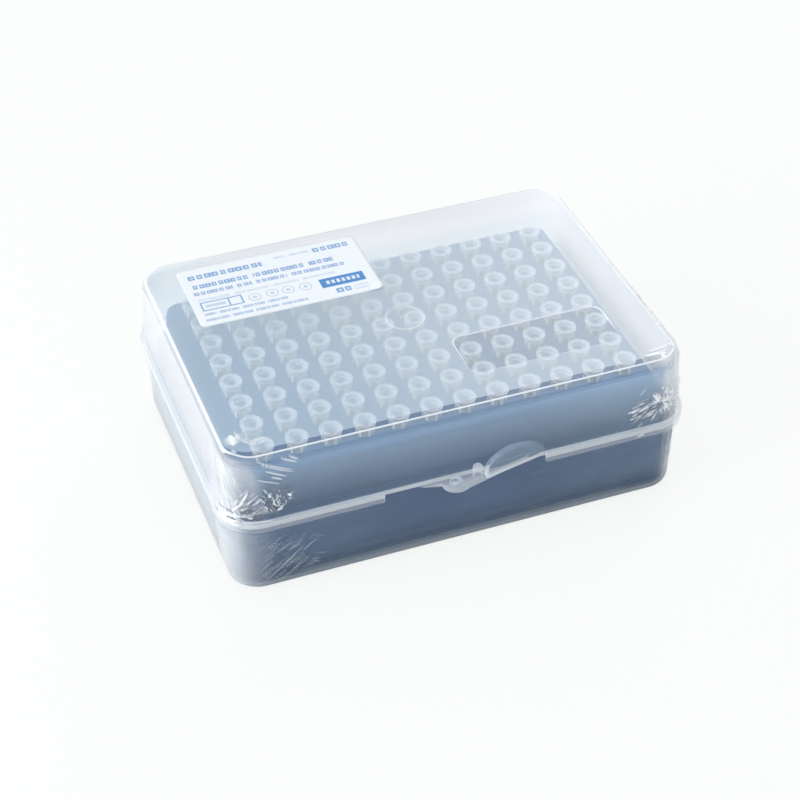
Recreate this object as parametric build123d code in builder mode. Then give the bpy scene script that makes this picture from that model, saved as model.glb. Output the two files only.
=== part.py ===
from build123d import *

import math
import os

# A hinged, film-wrapped box of 96 small pipette tips, in millimetres.
#
# Frame: +Z is up, X runs along the long side and the clasp faces -Y. The origin is the middle of the
# flat foot that the box stands on. Base and lid are thin drafted mouldings that meet on the parting
# plane; the rack stands in the base and the tips hang in the rack by the ribs under their rims.

# --- driving dimensions -------------------------------------------------------------------------

tip_pitch = 9.0
tip_columns = 12
tip_rows = 8

box_height = 42.75
parting_height = 23.0
parting_gap = 0.05
wall = 1.1
corner_radius = 8.0
edge_round = 2.0

base_length = 123.0
base_width = 88.2
base_draft = 1.5
foot_ring = 5.0
foot_recess = 0.5
floor_height = 1.5

lid_length = 124.6
lid_width = 89.8
lid_corner = 8.8
lid_draft = 2.3

flange_reach = 1.3
flange_height = 1.1
skirt_depth = 1.7
skirt_wall = 1.0
skirt_end_y = 42.0
skirt_gap_left = -22.5
skirt_gap_right = 21.6
bare_flange_reach = 0.4

hinge_spacing = 70.0
hinge_axis_y = 48.6
hinge_radius = 1.8
hinge_pin_radius = 1.0
hinge_fit = 0.06
hinge_mouth = 1.7
knuckle_length = 8.0
ear_thickness = 2.0
ear_gap = 0.3
ear_root_drop = 4.2
arm_top = 4.0

rack_length = 120.2
rack_width = 85.0
rack_corner = 7.4
rack_draft = 1.4
shoulder_height = 22.0
shoulder_depth = 2.1
upper_draft = 8.2
deck_height = 33.0
deck_thickness = 1.5
deck_edge_round = 0.8
rack_wall = 1.2
tip_hole_radius = 2.3

tip_top = 36.8
tip_length = 32.0
rim_radius = 2.95
rim_flat = 0.9
rim_height = 0.6
rim_foot_radius = 2.6
rim_foot = 1.6
mouth_radius = 1.85
mouth_depth = 0.3
collar_radius = 2.2
rib_radius = 2.5
rib_width = 0.7
rib_count = 6
rib_turn = 40.0
rib_bite = 0.2

label_length = 50.8
label_width = 26.5
label_thickness = 0.1
label_corner = 1.5
label_x = -26.6
label_y = 25.25

window_length = 42.0
window_width = 16.0
window_corner = 3.0
window_x = 27.9
window_y = -22.7
window_depth = 0.2

gate_radius = 5.0
gate_x = -0.8
gate_y = -2.2
gate_scar_radius = 1.0
gate_scar_shift = 0.5
gate_scar_height = 0.1

film = 0.15
film_gap = 0.15

os.makedirs("parts", exist_ok=True)

# --- values worked out from the driving dimensions -----------------------------------------------

lid_bottom = parting_height + parting_gap
lid_front = -lid_width / 2
base_top_grow = parting_height * math.tan(math.radians(base_draft))
base_top_width = base_width + 2 * base_top_grow
flange_length = lid_length + 2 * flange_reach
flange_width = lid_width + 2 * flange_reach
flange_corner = lid_corner + flange_reach


def save(piece, name):
    """Labels a finished piece and writes it to its own STEP file."""
    piece.part.label = name
    export_step(piece.part, f"parts/{name}.step")


def lowest_edges(piece):
    """The edges of the lowest flat face."""
    return piece.faces().sort_by(Axis.Z)[0].edges()


def highest_edges(piece):
    """The edges of the highest flat face."""
    return piece.faces().sort_by(Axis.Z)[-1].edges()


# --- base: tray, foot ring, clasp tab with its two studs, hinge ears -------------------------------

tab_thickness = 1.6
tab_arm_thickness = 0.7
tab_top = parting_height - 0.1
tab_root_y = -44.3
tab_left = (-15.5, tab_root_y)
tab_shoulder = (-6.9, -46.7)
tab_shoulder_root = (-6.9, tab_root_y)
tab_nose = (-4.2, -49.2)
tab_bend = (-1.0, -48.6)
tab_right = (15.0, tab_root_y)
low_stud_radius = 1.5
low_stud_bore_radius = 0.7
low_stud_height = 0.9
low_stud_place = (-3.8, -47.1)
tall_stud_radius = 1.3
tall_stud_round = 0.9
tall_stud_height = 3.8
tall_stud_place = (2.2, -46.7)

with BuildPart() as base:
    with BuildSketch(Plane.XY):
        RectangleRounded(base_length, base_width, corner_radius)
    extrude(amount=parting_height, taper=-base_draft)
    fillet(lowest_edges(base), edge_round)
    with BuildSketch(Plane.XY.offset(floor_height)):
        RectangleRounded(base_length - 2 * wall, base_width - 2 * wall, corner_radius - wall)
    extrude(amount=parting_height, taper=-base_draft, mode=Mode.SUBTRACT)
    with BuildSketch(Plane.XY):
        RectangleRounded(base_length - 2 * foot_ring, base_width - 2 * foot_ring, corner_radius / 2)
    extrude(amount=foot_recess, mode=Mode.SUBTRACT)

    # clasp tab on the outside of the front wall: a round nose with a thinner arm to its left
    with BuildSketch(Plane.XY.offset(tab_top)):
        with BuildLine():
            Line(tab_shoulder_root, tab_shoulder)
            ThreePointArc(tab_shoulder, tab_nose, tab_bend)
            Line(tab_bend, tab_right)
            Line(tab_right, tab_shoulder_root)
        make_face()
    extrude(amount=-tab_thickness)
    with BuildSketch(Plane.XY.offset(tab_top)):
        with BuildLine():
            Polyline(tab_left, tab_shoulder, tab_shoulder_root, close=True)
        make_face()
    extrude(amount=-tab_arm_thickness)
    with BuildSketch(Plane.XY.offset(tab_top)):
        with Locations(low_stud_place):
            Circle(low_stud_radius)
            Circle(low_stud_bore_radius, mode=Mode.SUBTRACT)
    extrude(amount=low_stud_height)
    with BuildSketch(Plane.XY.offset(tab_top)):
        with Locations(tall_stud_place):
            Circle(tall_stud_radius)
    extrude(amount=tall_stud_height)
    fillet(highest_edges(base), tall_stud_round)

    # two hinges at the back: each is a pair of ears with a pin between them
    for hinge_x in (-hinge_spacing / 2, hinge_spacing / 2):
        for side in (-1, 1):
            ear_inner = hinge_x + side * (knuckle_length / 2 + ear_gap)
            with BuildSketch(Plane.YZ.offset(ear_inner)):
                with Locations((hinge_axis_y, parting_height)):
                    Circle(hinge_radius)
                with BuildLine():
                    Polyline(
                        (base_top_width / 2 - wall / 2, parting_height),
                        (hinge_axis_y, parting_height),
                        (hinge_axis_y + hinge_radius, parting_height),
                        (base_top_width / 2 - wall / 2, parting_height - ear_root_drop),
                        close=True,
                    )
                make_face()
            extrude(amount=side * ear_thickness)
        with BuildSketch(Plane.YZ.offset(hinge_x - knuckle_length / 2 - ear_gap)):
            with Locations((hinge_axis_y, parting_height)):
                Circle(hinge_pin_radius)
        extrude(amount=knuckle_length + 2 * ear_gap)
save(base, "base")

# --- lid: drafted cover, flange and skirt, finger lip, hinge knuckles -------------------------------

lip_half_length = 8.5
lip_height = 6.1
lip_x = 14.3
lip_reach = 3.7
lip_wall = 0.9
lip_cut = 4.0
lip_right = 21.6
lip_lean = 0.7


def lip_plan(inset):
    """Plan of the finger lip: furthest out at its cut left end, running into the wall at the right."""
    Polyline(
        (lip_cut + inset, lid_front + wall),
        (lip_cut + inset, lid_front - lip_reach + inset),
        (lip_right, lid_front + inset),
        (lip_right, lid_front + wall),
        close=True,
    )


def lip_form(inset):
    """The finger lip's form: an arch that leans to the left as it leaves the wall."""
    with BuildPart() as form:
        with BuildSketch(Plane.XY.offset(lid_bottom)):
            with BuildLine():
                lip_plan(inset)
            make_face()
        extrude(amount=lip_height)
        with BuildSketch(Plane.XZ.offset(-lid_front - wall)):
            with Locations((lip_x, lid_bottom)):
                Ellipse(lip_half_length - inset, lip_height - inset)
        extrude(amount=lip_reach + 2 * wall, dir=(-lip_lean, -1, 0), mode=Mode.INTERSECT)
    return form.part


lip_outside = lip_form(0)
lip_inside = lip_form(lip_wall)
hook_shoulder = hinge_radius * math.cos(math.radians(45))

with BuildPart() as lid:
    with BuildSketch(Plane.XY.offset(lid_bottom)):
        RectangleRounded(lid_length, lid_width, lid_corner)
    extrude(amount=box_height - lid_bottom, taper=lid_draft)
    fillet(highest_edges(lid), edge_round)
    add(lip_outside)

    # flange all round, slimmer between the skirt's two front ends and at the back
    with BuildSketch(Plane.XY.offset(lid_bottom)):
        RectangleRounded(flange_length, flange_width, flange_corner)
        with Locations(
            ((skirt_gap_left + skirt_gap_right) / 2, lid_front - bare_flange_reach - flange_reach)
        ):
            Rectangle(skirt_gap_right - skirt_gap_left, 2 * flange_reach, mode=Mode.SUBTRACT)
        with Locations((0, -lid_front + bare_flange_reach + flange_reach)):
            Rectangle(flange_length, 2 * flange_reach, mode=Mode.SUBTRACT)
    extrude(amount=flange_height)

    # skirt that hangs over the base's rim at the sides and at both ends of the front
    with BuildSketch(Plane.XY.offset(lid_bottom)):
        RectangleRounded(flange_length, flange_width, flange_corner)
        RectangleRounded(
            flange_length - 2 * skirt_wall,
            flange_width - 2 * skirt_wall,
            flange_corner - skirt_wall,
            mode=Mode.SUBTRACT,
        )
        with Locations(((skirt_gap_left + skirt_gap_right) / 2, lid_front)):
            Rectangle(skirt_gap_right - skirt_gap_left, 6 * flange_reach, mode=Mode.SUBTRACT)
        with Locations((0, skirt_end_y + flange_corner)):
            Rectangle(flange_length, 2 * flange_corner, mode=Mode.SUBTRACT)
    extrude(amount=-skirt_depth)

    # inside of the cover and of the finger lip
    with BuildSketch(Plane.XY.offset(lid_bottom)):
        RectangleRounded(lid_length - 2 * wall, lid_width - 2 * wall, lid_corner - wall)
    extrude(amount=box_height - lid_bottom - wall, taper=lid_draft, mode=Mode.SUBTRACT)
    add(lip_inside, mode=Mode.SUBTRACT)

    # polished window and gate mark, sunk a little into the top
    with BuildSketch(Plane.XY.offset(box_height)):
        with Locations((window_x, window_y)):
            RectangleRounded(window_length, window_width, window_corner)
        with Locations((gate_x, gate_y)):
            Circle(gate_radius)
    extrude(amount=-window_depth, mode=Mode.SUBTRACT)
    with BuildSketch(Plane.XY.offset(box_height - window_depth)):
        with Locations((gate_x, gate_y)):
            Circle(gate_scar_radius)
        with Locations((gate_x + gate_scar_shift / 2, gate_y - gate_scar_shift)):
            Circle(gate_scar_radius, mode=Mode.SUBTRACT)
    extrude(amount=gate_scar_height)

    # hinge knuckles: open hooks that snap over the base's pins from above, on flat-topped arms
    for hinge_x in (-hinge_spacing / 2, hinge_spacing / 2):
        with BuildSketch(Plane.YZ.offset(hinge_x - knuckle_length / 2)):
            with Locations((hinge_axis_y, parting_height)):
                Circle(hinge_radius)
            with BuildLine():
                Polyline(
                    (-lid_front - wall / 2, lid_bottom),
                    (hinge_axis_y, lid_bottom),
                    (hinge_axis_y + hook_shoulder, parting_height + hook_shoulder),
                    (-lid_front - wall / 2, lid_bottom + arm_top),
                    close=True,
                )
            make_face()
            with Locations((hinge_axis_y, parting_height)):
                Circle(hinge_pin_radius + hinge_fit, mode=Mode.SUBTRACT)
            with Locations((hinge_axis_y, parting_height - hinge_radius)):
                Rectangle(hinge_mouth, 2 * hinge_radius, mode=Mode.SUBTRACT)
        extrude(amount=knuckle_length)
save(lid, "lid")

# --- rack: a deck with one hole for each tip, on a hollow stand that fills the base --------------------

shoulder_shrink = (shoulder_height - floor_height) * math.tan(math.radians(rack_draft))
upper_length = rack_length - 2 * shoulder_shrink - 2 * shoulder_depth
upper_width = rack_width - 2 * shoulder_shrink - 2 * shoulder_depth
upper_corner = rack_corner - shoulder_depth

with BuildPart() as tip_rack:
    with BuildSketch(Plane.XY.offset(floor_height)):
        RectangleRounded(rack_length, rack_width, rack_corner)
    extrude(amount=shoulder_height - floor_height, taper=rack_draft)
    with BuildSketch(Plane.XY.offset(shoulder_height)):
        RectangleRounded(upper_length, upper_width, upper_corner)
    extrude(amount=deck_height - shoulder_height, taper=upper_draft)
    fillet(highest_edges(tip_rack), deck_edge_round)
    with BuildSketch(Plane.XY.offset(floor_height)):
        RectangleRounded(rack_length - 2 * rack_wall, rack_width - 2 * rack_wall, rack_corner - rack_wall)
    extrude(amount=shoulder_height - floor_height - rack_wall, taper=rack_draft, mode=Mode.SUBTRACT)
    with BuildSketch(Plane.XY.offset(shoulder_height - rack_wall)):
        RectangleRounded(upper_length - 2 * rack_wall, upper_width - 2 * rack_wall, upper_corner - rack_wall)
    extrude(
        amount=deck_height - deck_thickness - shoulder_height + rack_wall,
        taper=upper_draft,
        mode=Mode.SUBTRACT,
    )
    with BuildSketch(Plane.XY.offset(deck_height)):
        with GridLocations(tip_pitch, tip_pitch, tip_columns, tip_rows):
            Circle(tip_hole_radius)
    extrude(amount=-deck_thickness, mode=Mode.SUBTRACT)
save(tip_rack, "tip_rack")

# --- tips: one is turned from its section and ribbed, then repeated along each column -------------------

stem_end = 14.0
stem_end_radius = 1.5
point_radius = 0.45
bore_radius = 1.2
point_bore_radius = 0.25
collar_foot_radius = 2.15
collar_bore_radius = 1.75
seat_depth = tip_top - deck_height
rib_root_radius = collar_radius - rib_bite

with BuildPart() as tip:
    with BuildSketch(Plane.XZ):
        with BuildLine():
            Polyline(
                (rim_radius - rim_flat, 0),
                (rim_radius, 0),
                (rim_radius, -rim_height),
                (rim_foot_radius, -rim_foot),
                (collar_radius, -rim_foot),
                (collar_foot_radius, -seat_depth),
                (stem_end_radius, -stem_end),
                (point_radius, -tip_length),
                (point_bore_radius, -tip_length),
                (bore_radius, -stem_end),
                (collar_bore_radius, -seat_depth),
                (mouth_radius, -mouth_depth),
                close=True,
            )
        make_face()
    revolve(axis=Axis.Z)
    with BuildSketch(Plane.XY.offset(-seat_depth)):
        with PolarLocations((rib_root_radius + rib_radius) / 2, rib_count, start_angle=rib_turn):
            Rectangle(rib_radius - rib_root_radius, rib_width)
    extrude(amount=seat_depth - rim_foot)

for column in range(tip_columns):
    column_x = (column - (tip_columns - 1) / 2) * tip_pitch
    with BuildPart() as tips_column:
        with Locations((column_x, 0, tip_top)):
            with GridLocations(tip_pitch, tip_pitch, 1, tip_rows):
                add(tip.part)
    save(tips_column, f"tips_column_{column + 1:02d}")

# --- label: a paper sticker on the lid's top, under the film -------------------------------------------

with BuildPart() as label:
    with BuildSketch(Plane.XY.offset(box_height)):
        with Locations((label_x, label_y)):
            RectangleRounded(label_length, label_width, label_corner)
    extrude(amount=label_thickness)
save(label, "label")

# --- shrink film: two thin skins, parted where the lid meets the base ------------------------------------
# The upper skin is stretched from the lid's walls out over the flange and down the skirt. The lower one
# starts under the skirt, runs in to the base's wall and turns under its rounded bottom edge.

film_flare_top = 4.6
film_flare_top_angle = 19.0
film_flare_low = 7.4
film_flare_low_angle = 14.0
film_part_gap = 0.1
film_low_edge = 0.5
film_bulge_half = 30.0
film_bulge_y = -50.1
film_bulge_x = 1.5
film_bulge_top = 16.0
film_bulge_low = 9.0
film_bulge_angle = 12.0
hinge_cut_half = 43.0
hinge_cut_top = 27.8
hinge_cut_low = 17.8
skirt_bottom = lid_bottom - skirt_depth
film_low_top = skirt_bottom - film_part_gap


def flange_outline(grow):
    """The flange's plan, grown outwards."""
    RectangleRounded(flange_length + 2 * grow, flange_width + 2 * grow, flange_corner + grow)


def bulge_outline(grow):
    """Plan of the stretched film that stands off over the clasp."""
    start = (film_bulge_x - film_bulge_half - grow, -flange_width / 2 + flange_corner)
    left = (film_bulge_x - film_bulge_half - grow, -flange_width / 2 - grow)
    peak = (film_bulge_x, film_bulge_y - grow)
    right = (film_bulge_x + film_bulge_half + grow, -flange_width / 2 - grow)
    end = (film_bulge_x + film_bulge_half + grow, -flange_width / 2 + flange_corner)
    Line(start, left)
    ThreePointArc(left, peak, right)
    Line(right, end)
    Line(end, start)


def upper_film_form(grow):
    """The closed form of the lid, its flange and its clasp, grown outwards."""
    with BuildPart() as form:
        with BuildSketch(Plane.XY.offset(lid_bottom)):
            RectangleRounded(lid_length + 2 * grow, lid_width + 2 * grow, lid_corner + grow)
        extrude(amount=box_height - lid_bottom + grow, taper=lid_draft)
        fillet(highest_edges(form), edge_round + grow)
        with BuildSketch(Plane.XY.offset(lid_bottom + flange_height)):
            flange_outline(grow)
        extrude(amount=film_flare_top, taper=film_flare_top_angle)
        with BuildSketch(Plane.XY.offset(skirt_bottom)):
            flange_outline(grow)
        extrude(amount=skirt_depth + flange_height)
        with BuildSketch(Plane.XY.offset(skirt_bottom)):
            with BuildLine():
                bulge_outline(grow)
            make_face()
        extrude(amount=film_bulge_top, taper=film_bulge_angle)
    return form.part


def lower_film_form(grow):
    """The closed form of the base and of the space under the flange, grown outwards."""
    with BuildPart() as form:
        with BuildSketch(Plane.XY.offset(-grow)):
            RectangleRounded(base_length + 2 * grow, base_width + 2 * grow, corner_radius + grow)
        extrude(amount=film_low_top + grow, taper=-base_draft)
        fillet(lowest_edges(form), edge_round + grow)
        with BuildSketch(Plane.XY.offset(film_low_top)):
            flange_outline(grow)
        extrude(amount=-film_flare_low, taper=film_flare_low_angle)
        with BuildSketch(Plane.XY.offset(film_low_top)):
            with BuildLine():
                bulge_outline(grow)
            make_face()
        extrude(amount=-film_bulge_low, taper=film_bulge_angle)
    return form.part


upper_outside = upper_film_form(film_gap + film)
upper_inside = upper_film_form(film_gap)
lower_outside = lower_film_form(film_gap + film)
lower_inside = lower_film_form(film_gap)

with BuildPart() as film_upper:
    add(upper_outside)
    add(upper_inside, mode=Mode.SUBTRACT)
    with BuildSketch(Plane.XY.offset(hinge_cut_top)):
        with Locations((0, -lid_front)):
            Rectangle(2 * hinge_cut_half, 2 * flange_corner)
    extrude(amount=-hinge_cut_top, mode=Mode.SUBTRACT)
save(film_upper, "film_upper")

with BuildPart() as film_lower:
    add(lower_outside)
    add(lower_inside, mode=Mode.SUBTRACT)
    with BuildSketch(Plane.XY.offset(film_low_edge)):
        Rectangle(2 * base_length, 2 * base_width)
    extrude(amount=-film_low_edge - edge_round, mode=Mode.SUBTRACT)
    with BuildSketch(Plane.XY.offset(hinge_cut_low)):
        with Locations((0, -lid_front)):
            Rectangle(2 * hinge_cut_half, 2 * flange_corner)
    extrude(amount=box_height, mode=Mode.SUBTRACT)
save(film_lower, "film_lower")
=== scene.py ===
"""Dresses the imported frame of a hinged, film-wrapped box of 96 pipette tips.

The frame's own nodes carry the box, the rack and the tips, and get their finishes here. A printed
sheet takes the label's place, and two wrinkled skins of shrink film take the places of the plain
ones. Sizes are in millimetres in the frame's own axes: X along the long side, the clasp towards
-Y, Z up from the foot.
"""

from __future__ import annotations

import logging
import math
import random
from abc import ABC, abstractmethod
from collections.abc import Callable
from dataclasses import dataclass, field
from enum import Enum

import bpy
import numpy as np
from mathutils import Matrix, Vector


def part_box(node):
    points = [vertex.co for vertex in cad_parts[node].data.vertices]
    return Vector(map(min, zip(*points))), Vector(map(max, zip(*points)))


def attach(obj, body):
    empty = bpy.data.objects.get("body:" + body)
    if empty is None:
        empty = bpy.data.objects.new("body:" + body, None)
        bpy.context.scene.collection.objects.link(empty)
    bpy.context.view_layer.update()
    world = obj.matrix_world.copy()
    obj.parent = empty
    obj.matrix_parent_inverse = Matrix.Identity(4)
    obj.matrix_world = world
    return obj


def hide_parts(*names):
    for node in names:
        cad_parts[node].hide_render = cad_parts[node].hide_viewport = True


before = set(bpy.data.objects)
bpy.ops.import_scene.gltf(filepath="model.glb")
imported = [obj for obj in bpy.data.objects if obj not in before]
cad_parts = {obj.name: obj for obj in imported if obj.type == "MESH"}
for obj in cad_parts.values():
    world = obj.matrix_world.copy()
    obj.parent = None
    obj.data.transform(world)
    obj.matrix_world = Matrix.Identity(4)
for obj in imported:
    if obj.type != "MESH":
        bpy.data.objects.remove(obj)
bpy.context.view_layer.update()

MM = 0.001
# how many finer layers the noise of a fine grain has
FINE = 3.0

log = logging.getLogger("tip_box")

Colour = tuple[float, float, float, float]
Pair = tuple[float, float]


class Body(Enum):
    """The two bodies that the box's pieces move with."""

    BASE = "base"
    LID = "lid"


class Slot(Enum):
    """The record's material slots for the pieces that are added here."""

    LABEL = "label_paper"
    FILM = "shrink_film"


class Owner(Enum):
    """What a node tree belongs to: its collection in Blender's data, and its output node."""

    MATERIAL = ("materials", "ShaderNodeOutputMaterial")
    WORLD = ("worlds", "ShaderNodeOutputWorld")


# --- shader maths ----------------------------------------------------------------------------


def operator(operation: str, swapped: bool = False) -> Callable[[Signal, Signal | float], Signal]:
    """Makes a method of Signal that adds a Math node.

    Args:
        operation: The node's operation.
        swapped: Whether the other value comes first.

    Returns:
        The method.
    """

    def method(self: Signal, other: Signal | float) -> Signal:
        """The operation's result."""
        values = (other, self) if swapped else (self, other)
        return self.graph.maths(operation, *values)

    return method


class Signal:
    """An output socket of a node that can be used in plain expressions."""

    def __init__(self, graph: Graph, socket: bpy.types.NodeSocket) -> None:
        """Keeps the socket and the graph that it belongs to."""
        self.graph = graph
        self.socket = socket

    def output(self, name: str) -> Signal:
        """Another output of the same node."""
        return Signal(self.graph, self.graph.find(self.socket.node.outputs, name))

    def toward(self, target: Signal | float, mask: Signal) -> Signal:
        """This signal where the mask is 0, and the target where it is 1."""
        return self + mask * (target - self)

    def __abs__(self) -> Signal:
        """The size without its sign."""
        return self.graph.maths("ABSOLUTE", self)

    __add__ = operator("ADD")
    __radd__ = operator("ADD", swapped=True)
    __sub__ = operator("SUBTRACT")
    __rsub__ = operator("SUBTRACT", swapped=True)
    __mul__ = operator("MULTIPLY")
    __rmul__ = operator("MULTIPLY", swapped=True)
    __pow__ = operator("POWER")


Value = Signal | float | tuple[float, ...]


class Graph:
    """The node tree of one material, or of the world."""

    def __init__(self, name: str, owner: Owner = Owner.MATERIAL) -> None:
        """Makes an empty material or world of that name."""
        collection, self.end = owner.value
        self.made = getattr(bpy.data, collection).new(name)
        self.made.use_nodes = True
        self.tree = self.made.node_tree
        self.tree.nodes.clear()

    @staticmethod
    def find(sockets: bpy.types.bpy_prop_collection, name: str) -> bpy.types.NodeSocket:
        """The socket with that identifier, or else with that name.

        Args:
            sockets: A node's inputs or outputs.
            name: The identifier or the name.

        Returns:
            The socket.
        """
        for socket in sockets:
            if socket.identifier == name:
                return socket
        return sockets[name]

    def node(
        self,
        kind: str,
        settings: dict[str, object] | None = None,
        inputs: dict[str, Value] | None = None,
        output: str | None = None,
    ) -> Signal:
        """Adds a node.

        Args:
            kind: The node's type.
            settings: Properties of the node, set before its sockets.
            inputs: What each input socket gets, a value or a link.
            output: The output that is wanted, or the first one.

        Returns:
            The output as a signal.
        """
        made = self.tree.nodes.new(kind)
        for name, value in (settings or {}).items():
            setattr(made, name, value)
        for name, value in (inputs or {}).items():
            socket = self.find(made.inputs, name)
            if isinstance(value, Signal):
                self.tree.links.new(value.socket, socket)
            else:
                socket.default_value = value
        wanted = self.find(made.outputs, output) if output else made.outputs[0]
        return Signal(self, wanted)

    def maths(self, operation: str, *values: Signal | float) -> Signal:
        """A Math node with one or two values."""
        sockets = ("Value", "Value_001")
        return self.node("ShaderNodeMath", {"operation": operation}, dict(zip(sockets, values)))

    def smaller(self, a: Signal | float, b: Signal | float) -> Signal:
        """The smaller of two values."""
        return self.maths("MINIMUM", a, b)

    def larger(self, a: Signal | float, b: Signal | float) -> Signal:
        """The larger of two values."""
        return self.maths("MAXIMUM", a, b)

    def ping_pong(self, value: Signal | float, turn: float) -> Signal:
        """Goes from 0 up to turn and back to 0, over and over."""
        return self.maths("PINGPONG", value, turn)

    def rise(
        self,
        value: Signal,
        low: Signal | float,
        high: Signal | float,
        start: float = 0.0,
    ) -> Signal:
        """Goes smoothly from 0 to 1.

        Args:
            value: What it follows.
            low: Where it starts to rise; it may be larger than high.
            high: Where it reaches 1.
            start: What low and high are counted from.

        Returns:
            The mask.
        """
        return self.node(
            "ShaderNodeMapRange",
            {"interpolation_type": "SMOOTHSTEP"},
            {"Value": value, "From Min": start + low, "From Max": start + high},
        )

    def blend(self, mask: Signal, low: Colour | Signal, high: Colour | Signal) -> Signal:
        """Mixes two colours by a mask."""
        return self.node(
            "ShaderNodeMix",
            {"data_type": "RGBA"},
            {"Factor_Float": mask, "A_Color": low, "B_Color": high},
            "Result_Color",
        )

    def noise(self, place: Signal, size: float, detail: float = 2.0) -> Signal:
        """Cloudy noise round 0.5.

        Args:
            place: A position vector in millimetres.
            size: The width of one cloud in millimetres.
            detail: How many finer layers it has.

        Returns:
            The noise.
        """
        inputs = {"Vector": place, "Scale": 1.0 / size, "Detail": detail}
        return self.node("ShaderNodeTexNoise", {"noise_dimensions": "3D"}, inputs, "Fac")

    def bump(self, height: Signal, depth: float) -> Signal:
        """A surface normal from a height.

        Args:
            height: The height, 0 to 1.
            depth: How high 1 stands, in millimetres.

        Returns:
            The normal.
        """
        inputs = {"Height": height, "Distance": depth * MM}
        return self.node("ShaderNodeBump", inputs=inputs, output="Normal")

    def facing(self) -> Signal:
        """0 where the surface is seen straight on, 1 where it is seen edge-on."""
        return self.node("ShaderNodeLayerWeight", inputs={"Blend": 0.5}, output="Facing")

    def ray(self, kind: str) -> Signal:
        """1 for the rays of that kind, 0 for others."""
        return self.node("ShaderNodeLightPath", output=kind)

    def seen_directly(self) -> Signal:
        """1 for what the camera sees, straight or in a mirror or through glass."""
        seen = self.larger(self.ray("Is Camera Ray"), self.ray("Is Glossy Ray"))
        return self.larger(seen, self.ray("Is Transmission Ray"))

    def principled(self, inputs: dict[str, Value]) -> Signal:
        """A Principled shader."""
        return self.node("ShaderNodeBsdfPrincipled", inputs=inputs)

    def clear(self) -> Signal:
        """A shader that lets everything through."""
        return self.node("ShaderNodeBsdfTransparent")

    def mix(self, mask: Signal, under: Signal, over: Signal) -> Signal:
        """Mixes two shaders by a mask."""
        inputs = {"Fac": mask, "Shader": under, "Shader_001": over}
        return self.node("ShaderNodeMixShader", inputs=inputs)

    def finish(self, shader: Signal) -> bpy.types.ID:
        """Links the shader to the output node and returns the material or the world."""
        end = self.tree.nodes.new(self.end)
        self.tree.links.new(shader.socket, end.inputs["Surface"])
        return self.made


class Place:
    """A point's place on its piece at rest, in millimetres, and masks drawn with it."""

    def __init__(self, graph: Graph) -> None:
        """Adds the coordinate nodes to a graph."""
        self.graph = graph
        here = graph.node("ShaderNodeTexCoord", output="Object")
        self.vector = graph.node(
            "ShaderNodeVectorMath", {"operation": "SCALE"}, {"Vector": here, "Scale": 1 / MM}
        )
        self.x = graph.node("ShaderNodeSeparateXYZ", inputs={"Vector": self.vector})
        self.y = self.x.output("Y")
        self.z = self.x.output("Z")

    def outside_box(self, centre: Pair, half: Pair, corner: float) -> Signal:
        """The distance out of a round-cornered rectangle in plan, negative inside it.

        Args:
            centre: The rectangle's middle.
            half: Its half length and half width.
            corner: Its corner radius.

        Returns:
            The distance in millimetres.
        """
        graph = self.graph
        along = abs(self.x - centre[0]) - (half[0] - corner)
        across = abs(self.y - centre[1]) - (half[1] - corner)
        beyond = (graph.larger(along, 0.0) ** 2 + graph.larger(across, 0.0) ** 2) ** 0.5
        return beyond + graph.smaller(graph.larger(along, across), 0.0) - corner

    def outside_circle(self, centre: Pair, radius: float) -> Signal:
        """The distance out of a circle in plan, negative inside it."""
        return ((self.x - centre[0]) ** 2 + (self.y - centre[1]) ** 2) ** 0.5 - radius


# --- finishes --------------------------------------------------------------------------------
#
# The pairs in capitals say where a mask starts to rise from 0 and where it reaches 1, in
# millimetres if no comment says otherwise.


@dataclass(frozen=True)
class Veil:
    """How a see-through plastic looks: a milky veil over what is behind it, denser at a slant.

    Attributes:
        colour: The veil's colour.
        roughness: The roughness of its surface.
        slant: How much of the view a surface hides when it is seen edge-on.
        lets_in: How much of the light that the veil takes goes on to what is inside.
        gloss: How strongly its surface mirrors; 0.5 is plain plastic.
    """

    colour: Colour
    roughness: float
    slant: float
    lets_in: float = 0.8
    gloss: float = 0.5

    IOR = 1.49
    # how sharply the slant's cover rises towards the edge
    SHARPNESS = 3

    def shader(self, graph: Graph, veil: Signal, colour: Signal | Colour, normal: Signal) -> Signal:
        """Adds the plastic's nodes.

        Args:
            graph: The material's graph.
            veil: How much of the view one surface hides when it is seen straight on.
            colour: The colour, which may vary.
            normal: The bumpy surface's normal.

        Returns:
            The shader.
        """
        body = graph.principled(
            {
                "Base Color": colour,
                "Roughness": self.roughness,
                "IOR": self.IOR,
                "Specular IOR Level": self.gloss,
                "Normal": normal,
            }
        )
        shown = (1 - self.slant * graph.facing() ** self.SHARPNESS) * (1 - veil)
        shade = 1 - self.lets_in * graph.ray("Is Shadow Ray")
        return graph.mix((1 - shown) * shade, graph.clear(), body)


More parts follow.
